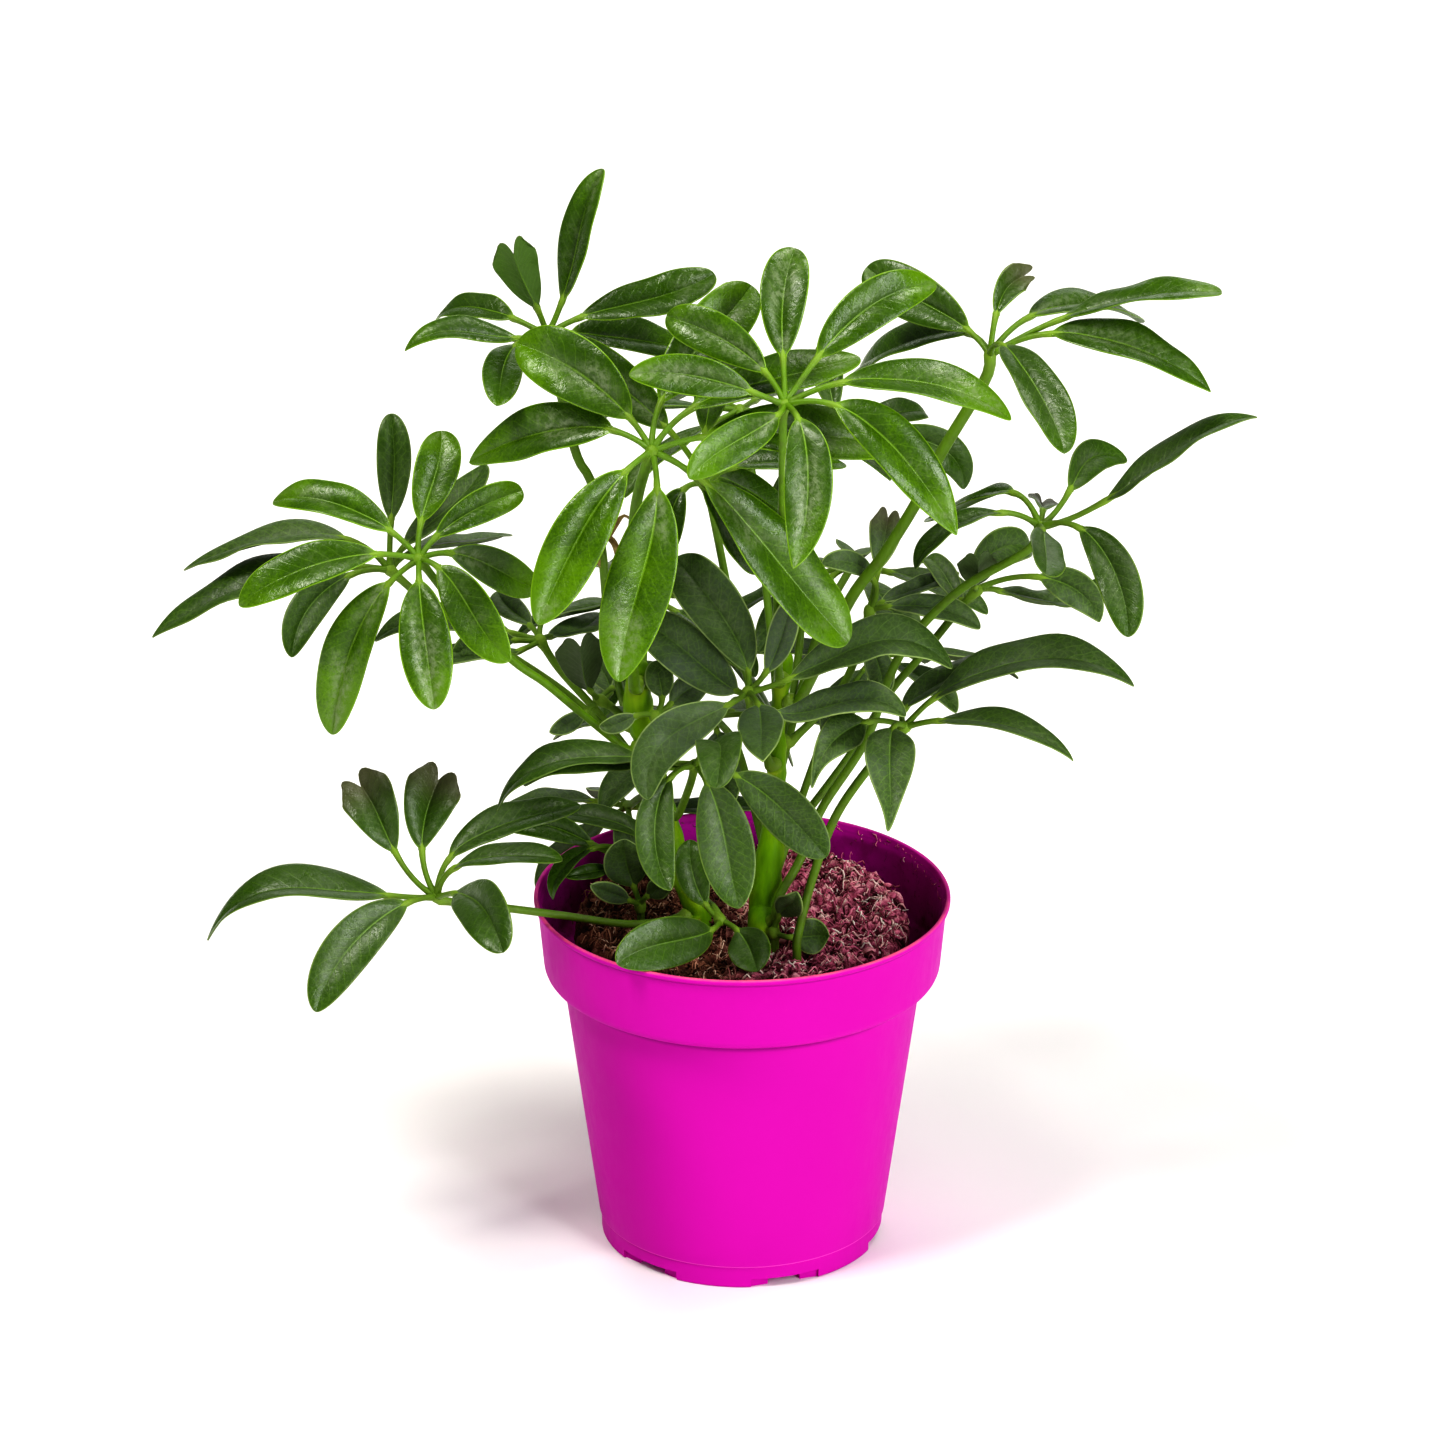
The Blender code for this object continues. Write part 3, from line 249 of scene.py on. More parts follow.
        (781, 934, 803, 937, 829, 936, 36, 0.15), (777, 922, 786, 908, 795, 894, 28, -0.6))),
    "shoot_front_left": ("soil", None, (640, 905, 6), 26, 0.18, "mmm", ((641, 914, 6),), (
        (636, 893, 628, 870, 625, 840, 45, -0.2), (645, 899, 656, 890, 669, 880, 22, 0.3),
        (631, 901, 611, 893, 592, 886, 20, 0.5))),
}

# Leaves at the back, which the photograph doesn't show: stem and its pixel row, hub (pixel x, pixel y,
# depth), leaflets, full length of a leaflet, droop in degrees, the first leaflet's direction in degrees, vigour
BACK_LEAVES = {
    "leaf_back_upper": ("stem_main", 684, (740, 410, -56), 7, 48, 14, 10, 0.6),
    "leaf_back_right": ("stem_main", 772, (852, 565, -60), 7, 46, 20, 30, 0.3),
    "leaf_back_upper_left": ("stem_left", 716, (648, 598, -58), 7, 44, 16, 0, 0.4),
    "leaf_back_low": ("stem_main", 856, (714, 716, -64), 7, 46, 16, 18, 0.18),
    "leaf_back_low_left": ("stem_left", 838, (628, 806, -54), 6, 40, 14, 40, 0.18),
    "leaf_back_low_right": ("stem_main", 880, (876, 655, -58), 6, 40, 14, 5, 0.18),
}
BACK_SEED = 5
BACK_RISE = 0.12

# Dried sheaths: pixel x, pixel y and depth towards the viewer along each, and its half width
DRIED = (
    (((600.5, 546, -1.6), (607, 538, 0.5), (614, 526, 2.0), (622, 515, 2.5), (629, 517, 2.0), (631, 523, 1.5)), 0.75),
    (((601.0, 541, -1.6), (609, 537, 0.0), (615, 543, 1.0), (617, 552, 1.5), (617, 562, 1.0)), 0.85),
    (((600.5, 545, -1.8), (597, 551, -1.0), (598, 559, -0.6), (600, 567, -0.8)), 0.70),
)
DRIED_STEPS = 14
DRIED_TWIST = 1.4
DRIED_HALF_THICKNESS = 0.10
DRIED_CURL = 0.7
DRIED_ACROSS = (-1.0, -0.5, 0.0, 0.5, 1.0)

# Outline of a blade by its form: power of its width towards the base, towards the tip, and bluntness
BLADE_POWERS = {"r": (0.72, 0.46, 0.10), "m": (0.70, 0.62, 0.10), "p": (0.70, 0.88, 0.10), "t": (0.95, 2.30, 0.22)}
LOBE_POWERS = (0.80, 0.40, 0.10)
LOBE_CUT = 0.84
LOBE_MIDDLE = 0.52
LOBE_ROUNDING = 0.17
LOBE_FOLD = 0.62

# Fine blade: rows along it, places across one half, thickness at the rib and at the margin
BLADE_ROWS = 40
HALF_ACROSS = (0.0, 0.035, 0.08, 0.15, 0.28, 0.44, 0.60, 0.76, 0.90, 1.0)
RIB_THICKNESS = 0.62
MARGIN_THICKNESS = 0.30
RIM_HALF = 0.12
GROOVE_DEPTH = 0.16
KEEL_DEPTH = 0.42
QUILT_DEPTH = 0.07
VEIN_PAIRS = 11.0
VEIN_SLANT = 2.0
TIP_DROOP = 1.5
BASE_HALF = 0.85
THINNEST_HALF = 0.05

STALK_SIDES = 10
STALK_STEPS = 10
STALK_RADIUS = 0.72
PETIOLE_SIDES = 14
PETIOLE_ROWS = 44
PETIOLE_FLARE = 1.05
HUB_CAP = (0.35, 0.65, 0.88, 0.98)
HUB_PALENESS = 0.5
STEM_RINGS = 150
STEM_SIDES = 28
STEM_TIP = 3.0
STEM_CAP = (0.3, 0.55, 0.78, 0.93, 1.0)
NODE_SWELL = 0.50
SHED_LEAVES = 4

# Lamps: name, place and size in metres, power in watts, colour
WHITE = (1.0, 1.0, 1.0)
WARM = (1.0, 0.97, 0.90)
LAMPS = (
    ("key_left", (-2.20, -1.60, 4.90), (1.6, 1.6), 172.0, WARM),
    ("key_right", (1.80, 0.80, 5.40), (1.9, 1.9), 112.0, WARM),
    ("fill", (3.25, -3.50, 3.00), (2.1, 2.1), 122.0, WHITE),
    ("glint", (2.40, -3.00, 0.60), (0.9, 1.1), 40.0, WHITE),
    ("backdrop", (0.30, 5.20, 2.20), (4.5, 1.8), 30.0, WHITE),
)
LAMP_TARGET = Vector((0, 0, 0.14))
WORLD_LIGHT = 0.15
FLOOR_REACH = 6.0
SENSOR_WIDTH = 36.0


# Layout, as in the part's source

def sight_line(px, py):
    """Direction of the line of sight through a pixel."""
    right = (px - FRAME_MIDDLE) / FOCAL_PIXELS
    down = (py - FRAME_MIDDLE) / FOCAL_PIXELS
    return SIGHT + VIEW_RIGHT * right - VIEW_UP * down


def spot(px, py, forward):
    """The point seen at a pixel, on the upright plane that is forward of the pot's axis."""
    line = sight_line(px, py)
    return EYE + line * ((-forward - EYE.y) / line.y)


def lerp(a, b, share):
    return a + (b - a) * share


def bell(distance, reach):
    """1 at no distance, and little left of it beyond twice the reach."""
    return np.exp(-(distance / reach) ** 2)


def smoothstep(low, high, value):
    t = np.clip((value - low) / (high - low), 0.0, 1.0)
    return t * t * (3 - 2 * t)


def unit(vectors):
    return vectors / np.linalg.norm(vectors, axis=-1, keepdims=True)


def around(radius, turn, z):
    """The point at a radius and an angle round the pot's axis."""
    return radius * math.cos(turn), radius * math.sin(turn), z


def heading_at(path, i):
    """Direction of a path at one of its points."""
    return (path[min(i + 1, len(path) - 1)] - path[max(i - 1, 0)]).normalized()


def distances(points):
    """How far along the line through them each of the points lies."""
    return list(accumulate(((b - a).length for a, b in zip(points, points[1:])), initial=0.0))


def smooth_path(points, steps):
    """A smooth curve through points, as steps + 1 evenly spaced points."""
    ends = [points[0] * 2 - points[1], *points, points[-1] * 2 - points[-2]]
    fine = []
    for a, b, c, d in zip(ends, ends[1:], ends[2:], ends[3:]):
        for k in range(8):
            t = k / 8
            fine.append(0.5 * (2 * b + (c - a) * t + (2 * a - 5 * b + 4 * c - d) * t * t
                               + (3 * b - a - 3 * c + d) * t ** 3))
    fine.append(points[-1])
    lengths = distances(fine)
    result = []
    j = 0
    for k in range(steps + 1):
        goal = lengths[-1] * k / steps
        while j < len(fine) - 2 and lengths[j + 1] < goal:
            j += 1
        gap = max(lengths[j + 1] - lengths[j], 1e-9)
        result.append(lerp(fine[j], fine[j + 1], (goal - lengths[j]) / gap))
    return result


class Leaflet:
    """A stalked blade along a midrib through four knots: hub, base of the blade, middle and tip."""

    def __init__(self, knots, half_width, side, notched=False, eye=None):
        self.knots, self.half_width, self.side, self.notched, self.eye = knots, half_width, side, notched, eye
        reach = distances(knots)
        self.times = [length / reach[-1] for length in reach]
        self.start = self.times[1]

    def bent(self, amount):
        """The same leaflet bent towards the viewer, or upwards at the back of the plant."""
        knots = []
        for knot, time in zip(self.knots, self.times):
            push = Vector((0, 0, 1)) if self.eye is None else (self.eye - knot).normalized()
            knots.append(knot + push * amount * time ** 1.6)
        return Leaflet(knots, self.half_width, self.side, self.notched, self.eye)

    def points(self, times):
        """The cubic through the four knots, at an array of times."""
        result = np.zeros(times.shape + (3,))
        for i, knot in enumerate(self.knots):
            weight = np.ones(times.shape)
            for k in range(4):
                if k != i:
                    weight = weight * (times - self.times[k]) / (self.times[i] - self.times[k])
            result += weight[..., None] * np.array(knot)
        return result

    def frames(self, times):
        """Side and upper face of the blade at an array of times."""
        step = 0.02
        along = unit(self.points(np.minimum(times + step, 1.0)) - self.points(np.maximum(times - step, 0.0)))
        side = np.array(self.side)
        side = unit(side - along * (along @ side)[..., None])
        return side, np.cross(side, along)

    def end_ring(self):
        """The four corners of the frame's blade at its tip."""
        half = self.half_width * NOTCH_SHARE if self.notched else max(self.half_width * TIP_SHARE, STALK_HALF)
        lift = (DEEP_FOLD if self.notched else FOLD) * half
        back = NOTCH_DEPTH if self.notched else 0.0
        thick = BLADE_HALF_THICKNESS * 0.8
        end = np.array(1.0)
        side, up = self.frames(end)
        edge = self.points(end) + up * lift * 0.5
        middle = self.points(np.array(1.0 - back * (1 - self.start))) - up * lift * 0.5
        return edge - side * half, middle + up * thick, edge + side * half, middle - up * thick


def roll_to_width(along, crown, seen_share):
    """Side direction of a blade that shows the measured share of its width, turned least from natural."""
    side = along.cross(crown).normalized()
    up = side.cross(along)
    across = along.cross(SIGHT).normalized()
    natural = math.atan2(up.dot(across), side.dot(across))
    opened = math.acos(min(max(seen_share, 0.0), 1.0))
    turns = [math.atan2(math.sin(turn), math.cos(turn))
             for turn in (natural + opened, natural - opened, natural + math.pi - opened, natural - math.pi + opened)]
    turn = min(turns, key=abs)
    return side * math.cos(turn) + up * math.sin(turn)


def photo_leaflet(hub, hub_forward, below, full, row, notched):
    """A leaflet from its pixels: its full length gives its depth, and the width seen gives its turn."""
    *places, width_px, lean = row
    base_px, mid_px, tip_px = places[:2], places[2:4], places[4:]
    crown = ((hub - below).normalized() + Vector((0, -0.35, 1.4))).normalized()
    hub_line = (hub - EYE).normalized()
    flat = spot(*tip_px, hub_forward) - hub
    seen = (flat - hub_line * flat.dot(hub_line)).length
    depth = lean * (math.sqrt(max(full * full - seen * seen, 0.0)) * math.cos(VIEW_ELEVATION))
    tip = spot(*tip_px, hub_forward + depth)
    mid = spot(*mid_px, hub_forward + depth * (0.66 if lean > 0 else 0.56))
    base = spot(*base_px, hub_forward + depth * 0.25)
    if (base - hub).length < SHORTEST_STALK:
        base = hub + (base - hub).normalized() * SHORTEST_STALK
    length = (mid - base).length + (tip - mid).length
    seen_width = width_px * MM_PER_PIXEL
    width = max(length * SLENDERNESS, seen_width)
    side = roll_to_width((tip - base).normalized(), crown, seen_width / width)
    return Leaflet((hub, base, mid, tip), width / 2, side, notched, EYE)


def stem_axis(name):
    """Axis points of a stem, from the soil's surface up."""
    first, *others = STEMS[name]
    line = sight_line(*first[:2])
    foot = EYE + line * ((SOIL_TOP_Z - EYE.z) / line.z)
    foot.z += 2.0
    return [foot] + [spot(*place[:3]) for place in others]


def stem_point(name, row):
    """Axis point, direction and radius of a stem at a pixel row."""
    rows = STEMS[name]
    axis = stem_axis(name)
    i = next((i for i in range(len(rows) - 1) if rows[i + 1][1] <= row <= rows[i][1]), len(rows) - 2)
    share = min(max((rows[i][1] - row) / (rows[i][1] - rows[i + 1][1]), 0.0), 1.0)
    along = (axis[i + 1] - axis[i]).normalized()
    return lerp(axis[i], axis[i + 1], share), along, lerp(rows[i][3], rows[i + 1][3], share)


def leave_stem(stem, row, goal):
    """First two points of a petiole: its foot, square to the stem, and the bend where it turns upwards."""
    axis, along, radius = stem_point(stem, row)
    outward = goal - axis
    outward -= along * outward.dot(along)
    outward.normalize()
    return [axis + outward * (radius + CLEARANCE + 0.15), axis + outward * (radius + 2.9) + along * 0.4]


def petiole_path(stem, row, hub, way):
    """Points of a petiole from its foot to the hub."""
    points = [spot(*place) for place in reversed(way)] + [hub]
    if stem == "soil":
        x, y, _ = points[0]
        return [Vector((x, y, HOLE_FLOOR_Z + 0.5)), Vector((x, y, SOIL_TOP_Z + 2.5))] + points
    return leave_stem(stem, row, points[0]) + points


def back_path(stem, row, hub):
    """Points of the petiole of a leaf at the back, which bows upwards."""
    start = leave_stem(stem, row, hub)
    bow = lerp(start[1], hub, 0.5) + Vector((0, 0, BACK_RISE * (hub - start[1]).length))
    return start + [bow, hub]


def back_leaflets(hub, count, full, droop, first, draw):
    """A fan of drooping leaflets around a hub."""
    result = []
    for k in range(count):
        turn = math.radians(first + 360.0 * k / count + draw.uniform(-7, 7))
        length = full * draw.uniform(0.82, 1.0)
        fall = math.radians(droop + draw.uniform(-8, 10))
        out = Vector((math.cos(turn), math.sin(turn), 0))
        tip = hub + out * length * math.cos(fall) - Vector((0, 0, length * math.sin(fall)))
        side = Vector((out.y, -out.x, draw.uniform(-0.3, 0.3))).normalized()
        knots = [lerp(hub, tip, share) + Vector((0, 0, length * rise))
                 for share, rise in ((0.0, 0.0), (draw.uniform(0.22, 0.28), 0.05), (0.62, 0.09), (1.0, 0.0))]
        result.append(Leaflet(knots, length * 0.13, side))
    return result


def corners_of(node):
    """The corners of a frame node, in millimetres, to look up by place."""
    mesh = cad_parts[node].data
    tree = kdtree.KDTree(len(mesh.vertices))
    for i, vertex in enumerate(mesh.vertices):
        tree.insert(vertex.co / MM, i)
    tree.balance()
    return tree


def as_in_frame(leaflet, corners):
    """The leaflet with the bend that the frame's solid gives it, or None where the frame has no such leaflet."""
    trials = [leaflet.bent(amount) for amount in BENDS]
    misses = [sum(corners.find(corner)[2] for corner in trial.end_ring()) for trial in trials]
    least = min(misses)
    return trials[misses.index(least)] if least < 1.0 else None


# Meshes

class Draft:
    """A mesh being put together in millimetres, with values for its material at every vertex."""

    def __init__(self, *names):
        self.points, self.faces, self.count = [], [], 0
        self.values = {name: [] for name in names}

    def add(self, points, faces, **values):
        points = np.asarray(points, float).reshape(-1, 3)
        self.points.append(points)
        self.faces += [tuple(int(i) + self.count for i in face) for face in faces]
        for name, kept in self.values.items():
            kept.append(np.broadcast_to(np.asarray(values.get(name, 0.0), float).reshape(-1), (len(points),)))
        self.count += len(points)

    def piece(self, name, look, node=None):
        """A finished object that rides on the root body."""
        mesh = bpy.data.meshes.new(name)
        mesh.from_pydata(np.concatenate(self.points) * MM, [], self.faces)
        for key, kept in self.values.items():
            layer = mesh.attributes.new(key, "FLOAT", "POINT")
            layer.data.foreach_set("value", np.concatenate(kept).astype(np.float32))
        mesh.update()
        mesh.shade_smooth()
        mesh.materials.append(look)
        obj = in_scene(bpy.data.objects.new(name, mesh))
        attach(obj, "root")
        if node:
            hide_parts(node)
        return obj


def in_scene(obj):
    bpy.context.scene.collection.objects.link(obj)
    return obj


def loft_faces(rows, columns):
    """Quads of a closed loft: each row is a ring of columns vertices, in turn."""
    return [(i + k, i + (k + 1) % columns, i + (k + 1) % columns + columns, i + k + columns)
            for i in range(0, (rows - 1) * columns, columns) for k in range(columns)]


def turned_faces(rings, sides):
    """Faces of a body turned round an axis: its first point, rings of sides vertices, and its last point."""
    ring = [(k, (k + 1) % sides) for k in range(sides)]
    last = 1 + (rings - 1) * sides
    return ([(0, 1 + n, 1 + k) for k, n in ring] + [tuple(i + 1 for i in face) for face in loft_faces(rings, sides)]
            + [(last + k, last + n, last + sides) for k, n in ring])


def end_caps(cap, last):
    """A cap's faces at both ends of a loft, turned outwards."""
    return [face[::-1] for face in cap] + [tuple(last + i for i in face) for face in cap]


def tube(path, radii, sides):
    """Points and faces of a round bar along a path, closed at its ends."""
    path = [Vector(p) for p in path]
    side = heading_at(path, 0).orthogonal().normalized()
    points = []
    for i, (point, radius) in enumerate(zip(path, radii)):
        along = heading_at(path, i)
        side = (side - along * side.dot(along)).normalized()
        other = along.cross(side)
        for k in range(sides):
            turn = math.tau * k / sides
            points.append(point + (side * math.cos(turn) + other * math.sin(turn)) * radius)
    return points, loft_faces(len(path), sides) + end_caps([tuple(range(sides))], (len(path) - 1) * sides)


def outline(shares, powers):
    """Half width of a blade along it, as a share of the widest."""
    base_power, tip_power, blunt = powers
    widest = base_power / (base_power + tip_power)
    top = widest ** base_power * (1 - widest) ** tip_power
    body = shares ** base_power * (1 - shares) ** tip_power / top
    return body * (1 - blunt) + blunt * 2 * np.sqrt(shares * (1 - shares))


def notched_form(shares, across, half_width, draw):
    """Width along the blade, and reach and height across it, of a folded blade with two round lobes."""
    size = np.abs(across)
    width = outline(shares * LOBE_CUT, LOBE_POWERS) * half_width
    width *= 1 - 0.16 * smoothstep(0.80, 1.0, shares) ** 2
    out = size / LOBE_MIDDLE - 1
    lobe = np.where(out < 0, NOTCH_DEPTH * np.abs(out) ** 2.3,
                    LOBE_ROUNDING * np.abs(out * LOBE_MIDDLE / (1 - LOBE_MIDDLE)) ** 2.3)
    lobe = lobe * np.where(across < 0, 1.0, draw.uniform(0.7, 1.0)) + np.where(across > 0, 0.05, 0.0) * size
    reach = shares[:, None] * (1 - lobe * smoothstep(0.45, 1.0, shares[:, None]))
    lift = (LOBE_FOLD * width * np.minimum(shares * 4, 1))[:, None]
    return width, reach, lift * (1.75 * size - 0.95 * size ** 2 - 0.5)


def plain_form(shares, across, half_width, powers, draw):
    """Width along the blade, and reach and height across it, of an arched blade that droops at its tip."""
    size = np.abs(across)
    width = outline(shares, powers) * half_width
    fold = FOLD * draw.uniform(1.15, 1.75)
    bulge = draw.uniform(0.75, 1.65)
    lift = (fold * width * np.minimum(shares * 4, 1) * (1.3 - 0.6 * shares))[:, None]
    height = lift * ((0.75 + bulge) * size - bulge * size ** 2 - 0.45)
    droop = draw.uniform(0.1, 1.0) * TIP_DROOP * smoothstep(0.72, 1.15, shares) ** 1.5
    return width, np.repeat(shares[:, None], len(across), axis=1), height - droop[:, None]


def add_blade(draft, leaflet, vigour, form, draw):
    """The fine blade of a leaflet: arched halves, a groove between them, side veins, a keel and a thin margin."""
    rows = BLADE_ROWS + 1
    shares = (1 - np.cos(math.pi * np.arange(rows) / BLADE_ROWS)) / 2
    half = np.array(HALF_ACROSS)
    across = np.concatenate((-half[:0:-1], half))
    columns = len(across)
    size = np.abs(across)
    tip_stretch = draw.uniform(0.92, 1.1)
    if leaflet.notched:
        width, reach, height = notched_form(shares, across, leaflet.half_width, draw)
    else:
        base_power, tip_power, blunt = BLADE_POWERS[form]
        powers = base_power, tip_power * tip_stretch, blunt
        width, reach, height = plain_form(shares, across, leaflet.half_width, powers, draw)
    narrow = np.maximum(BASE_HALF * (1 - smoothstep(0.0, 0.25, shares)), THINNEST_HALF)
    width = np.maximum(width, narrow)
    for sign in (-1, 1):
        wave = draw.uniform(0.04, 0.10) * leaflet.half_width
        turns = draw.uniform(1.2, 2.6)
        phase = draw.uniform(0, math.tau)
        edge = np.where(across * sign > 0, size, 0.0) ** 2
        height = height + wave * edge * (np.sin(math.pi * shares)
                                         * np.sin(turns * math.tau * shares + phase))[:, None]
    down = shares[:, None]
    place = across * width[:, None]
    course = down * VEIN_PAIRS - size * VEIN_SLANT
    quilt = QUILT_DEPTH * (np.abs(np.sin(math.pi * course)) - 0.6) * np.sin(math.pi * np.minimum(size * 1.15, 1.0))
    thick = (MARGIN_THICKNESS + (RIB_THICKNESS - MARGIN_THICKNESS) * (1 - size) ** 1.5) / 2 * (1 - 0.3 * down)
    groove = GROOVE_DEPTH * bell(place, 0.42) * (1 - 0.7 * down)
    keel = KEEL_DEPTH * bell(place, 0.62) * (1 - 0.8 * down)

    side, up = leaflet.frames(leaflet.start + (1 - leaflet.start) * shares)
    side, up = side[:, None, :], up[:, None, :]
    middle = leaflet.points(leaflet.start + (1 - leaflet.start) * reach)
    middle = middle + side * place[..., None] + up * height[..., None]
    top = middle + up * (thick - groove + quilt)[..., None]
    low = middle - up * (thick + keel - quilt)[..., None]
    right_rim, left_rim = middle[:, -1:] + side * RIM_HALF, middle[:, :1] - side * RIM_HALF
    ring = np.concatenate((top, right_rim, low[:, ::-1], left_rim), axis=1)
    ring_columns = 2 * columns + 2
    cap = [(k, k + 1, ring_columns - 3 - k, ring_columns - 2 - k) for k in range(columns - 1)]
    cap += [(columns - 1, columns, columns + 1), (0, ring_columns - 2, ring_columns - 1)]
    faces = loft_faces(rows, ring_columns) + end_caps(cap, (rows - 1) * ring_columns)

    def round_ring(upper, right, lower, left):
        """A value at every vertex: over the top, at the right rim, back underneath and at the left rim."""
        rim = np.ones((rows, 1))
        upper, lower = (np.broadcast_to(values, (rows, columns)) for values in (upper, lower))
        return np.concatenate((upper, rim * right, lower, rim * left), axis=1)

    inset = (1 - size) * width[:, None]
    draft.add(ring, faces, across=round_ring(across, 1.03, across[::-1], -1.03),
              inset=round_ring(inset, 0, inset[:, ::-1], 0), along=np.tile(down, (1, ring_columns)),
              under=round_ring(0, 0.3, 1, 0.3), vigour=vigour, grain=draw.random(),
              blush=1.0 if leaflet.notched else 0.0)


def add_stalk(draft, leaflet, vigour, draw):
    """The leaflet's own stalk, swollen at the hub and running out into the keel."""
    end = leaflet.start + 0.16 * (1 - leaflet.start)
    times = np.linspace(0.0, end, STALK_STEPS + 1)
    up = leaflet.frames(times)[1]
    share = times / leaflet.start
    sink = smoothstep(0.7, 1.5, share)[:, None] * 0.75
    radii = STALK_RADIUS * (1 + 0.45 * bell(share, 0.18) + 0.25 * bell(share - 1.0, 0.14))
    radii *= 1 - 0.8 * smoothstep(1.0, end / leaflet.start, share)
    pale = bell(share - 1.05, 0.22) * 0.8
    draft.add(*tube(leaflet.points(times) - up * sink, radii, STALK_SIDES), stalk=1.0,
              along=np.repeat(pale, STALK_SIDES), across=0.5, vigour=vigour, grain=draw.random())


def add_petiole(draft, name, path, vigour, on_soil, draw):
    """The petiole, with the pale sheath that clasps the stem and the swollen hub."""
    radius = THICK_PETIOLES.get(name, PETIOLE_RADIUS)
    line = smooth_path(path, PETIOLE_ROWS)
    if not on_soil:
        line.insert(0, path[0] + (path[0] - path[1]).normalized() * 1.6)
    reach = np.array(distances(line))
    left = reach[-1] - reach
    flare = 0.0 if on_soil else PETIOLE_FLARE * bell(reach, 4.0)
    radii = [*(radius + flare + (HUB_RADIUS - radius) * bell(left, 1.9))]
    pale = [*(0.9 * bell(reach, 4.5) + 0.5 * bell(left, 3.0))]
    tip = line[-1]
    out = (line[-1] - line[-2]).normalized()
    for share in HUB_CAP:
        line.append(tip + out * HUB_RADIUS * share)
        radii.append(HUB_RADIUS * math.sqrt(1 - share * share))
        pale.append(HUB_PALENESS)
    draft.add(*tube(line, radii, PETIOLE_SIDES), stalk=1.0, along=np.repeat(pale, PETIOLE_SIDES), across=0.5,
              vigour=vigour, grain=draw.random())


def build_leaf(name, path, leaflets, forms, vigour, look, on_soil=False):
    """One compound leaf: petiole, hub and every leaflet that the frame has."""
    draw = random.Random(name)
    draft = Draft("across", "inset", "along", "under", "stalk", "vigour", "grain", "blush")
    corners = corners_of(name)
    add_petiole(draft, name, path, vigour, on_soil, draw)
    for form, leaflet in zip(forms, leaflets):
        placed = as_in_frame(leaflet, corners)
        if placed:
            own = vigour + draw.uniform(-0.05, 0.05)
            add_stalk(draft, placed, own, draw)
            add_blade(draft, placed, own, form, draw)
    return draft.piece(name + "_fine", look, name)


def build_leaves(look):
    for name, (stem, row, hub_at, full, vigour, forms, way, rows) in LEAVES.items():
        hub = spot(*hub_at)
        path = petiole_path(stem, row, hub, way)
        leaflets = [photo_leaflet(hub, hub_at[2], path[-2], full, values, form == "n")
                    for values, form in zip(rows, forms)]
        build_leaf(name, path, leaflets, forms, vigour, look, stem == "soil")
    draw = random.Random(BACK_SEED)
    for name, (stem, row, hub_at, count, full, droop, first, vigour) in BACK_LEAVES.items():
        hub = spot(*hub_at)
        leaflets = back_leaflets(hub, count, full, droop, first, draw)
        build_leaf(name, back_path(stem, row, hub), leaflets, "m" * count, vigour, look)


def build_dried(look):
    """Dried, curled sheaths that cling to the petiole of the upper left leaf."""
    draft = Draft()
    for places, half in DRIED:
        path = smooth_path([spot(*place) for place in places], DRIED_STEPS)
        rings = []
        for i, point in enumerate(path):
            share = i / (len(path) - 1)
            turn = share * DRIED_TWIST
            along = heading_at(path, i)
            side = (SIGHT * math.cos(turn) + VIEW_UP * math.sin(turn)).cross(along).normalized()
            up = side.cross(along)
            wide = half * (0.25 + 0.75 * math.sin(math.pi * min(share * 1.1, 1.0)) ** 0.6)
            for step, lift in ((1, DRIED_HALF_THICKNESS), (-1, -DRIED_HALF_THICKNESS)):
                rings += [point + side * wide * across + up * (wide * DRIED_CURL * across * across + lift)
                          for across in DRIED_ACROSS[::step]]
        sides = 2 * len(DRIED_ACROSS)
        cap = [(k, k + 1, sides - 2 - k, sides - 1 - k) for k in range(len(DRIED_ACROSS) - 1)]
        draft.add(rings, loft_faces(len(path), sides) + end_caps(cap, (len(path) - 1) * sides))
    return draft.piece("dried_sheaths", look)


def stem_joints(name, path, draw):
    """Where leaves spring from a stem, and where shed ones did: place in the path, direction and strength."""
    springs = [(row, spot(*way[-1])) for stem, row, *_, way, _ in LEAVES.values() if stem == name]
    springs += [(row, spot(*hub_at)) for stem, row, hub_at, *_ in BACK_LEAVES.values() if stem == name]
    joints = []
    for row, goal in springs:
        point = stem_point(name, row)[0]
        nearest = min(range(len(path)), key=lambda i: (path[i] - point).length)
        joints.append((nearest, (leave_stem(name, row, goal)[0] - point).normalized(), 1.0))
    for _ in range(SHED_LEAVES):
        turn = draw.uniform(0, math.tau)
        joints.append((int(draw.uniform(0.25, 0.95) * STEM_RINGS), Vector(around(1.0, turn, 0.0)), 0.6))
    return joints


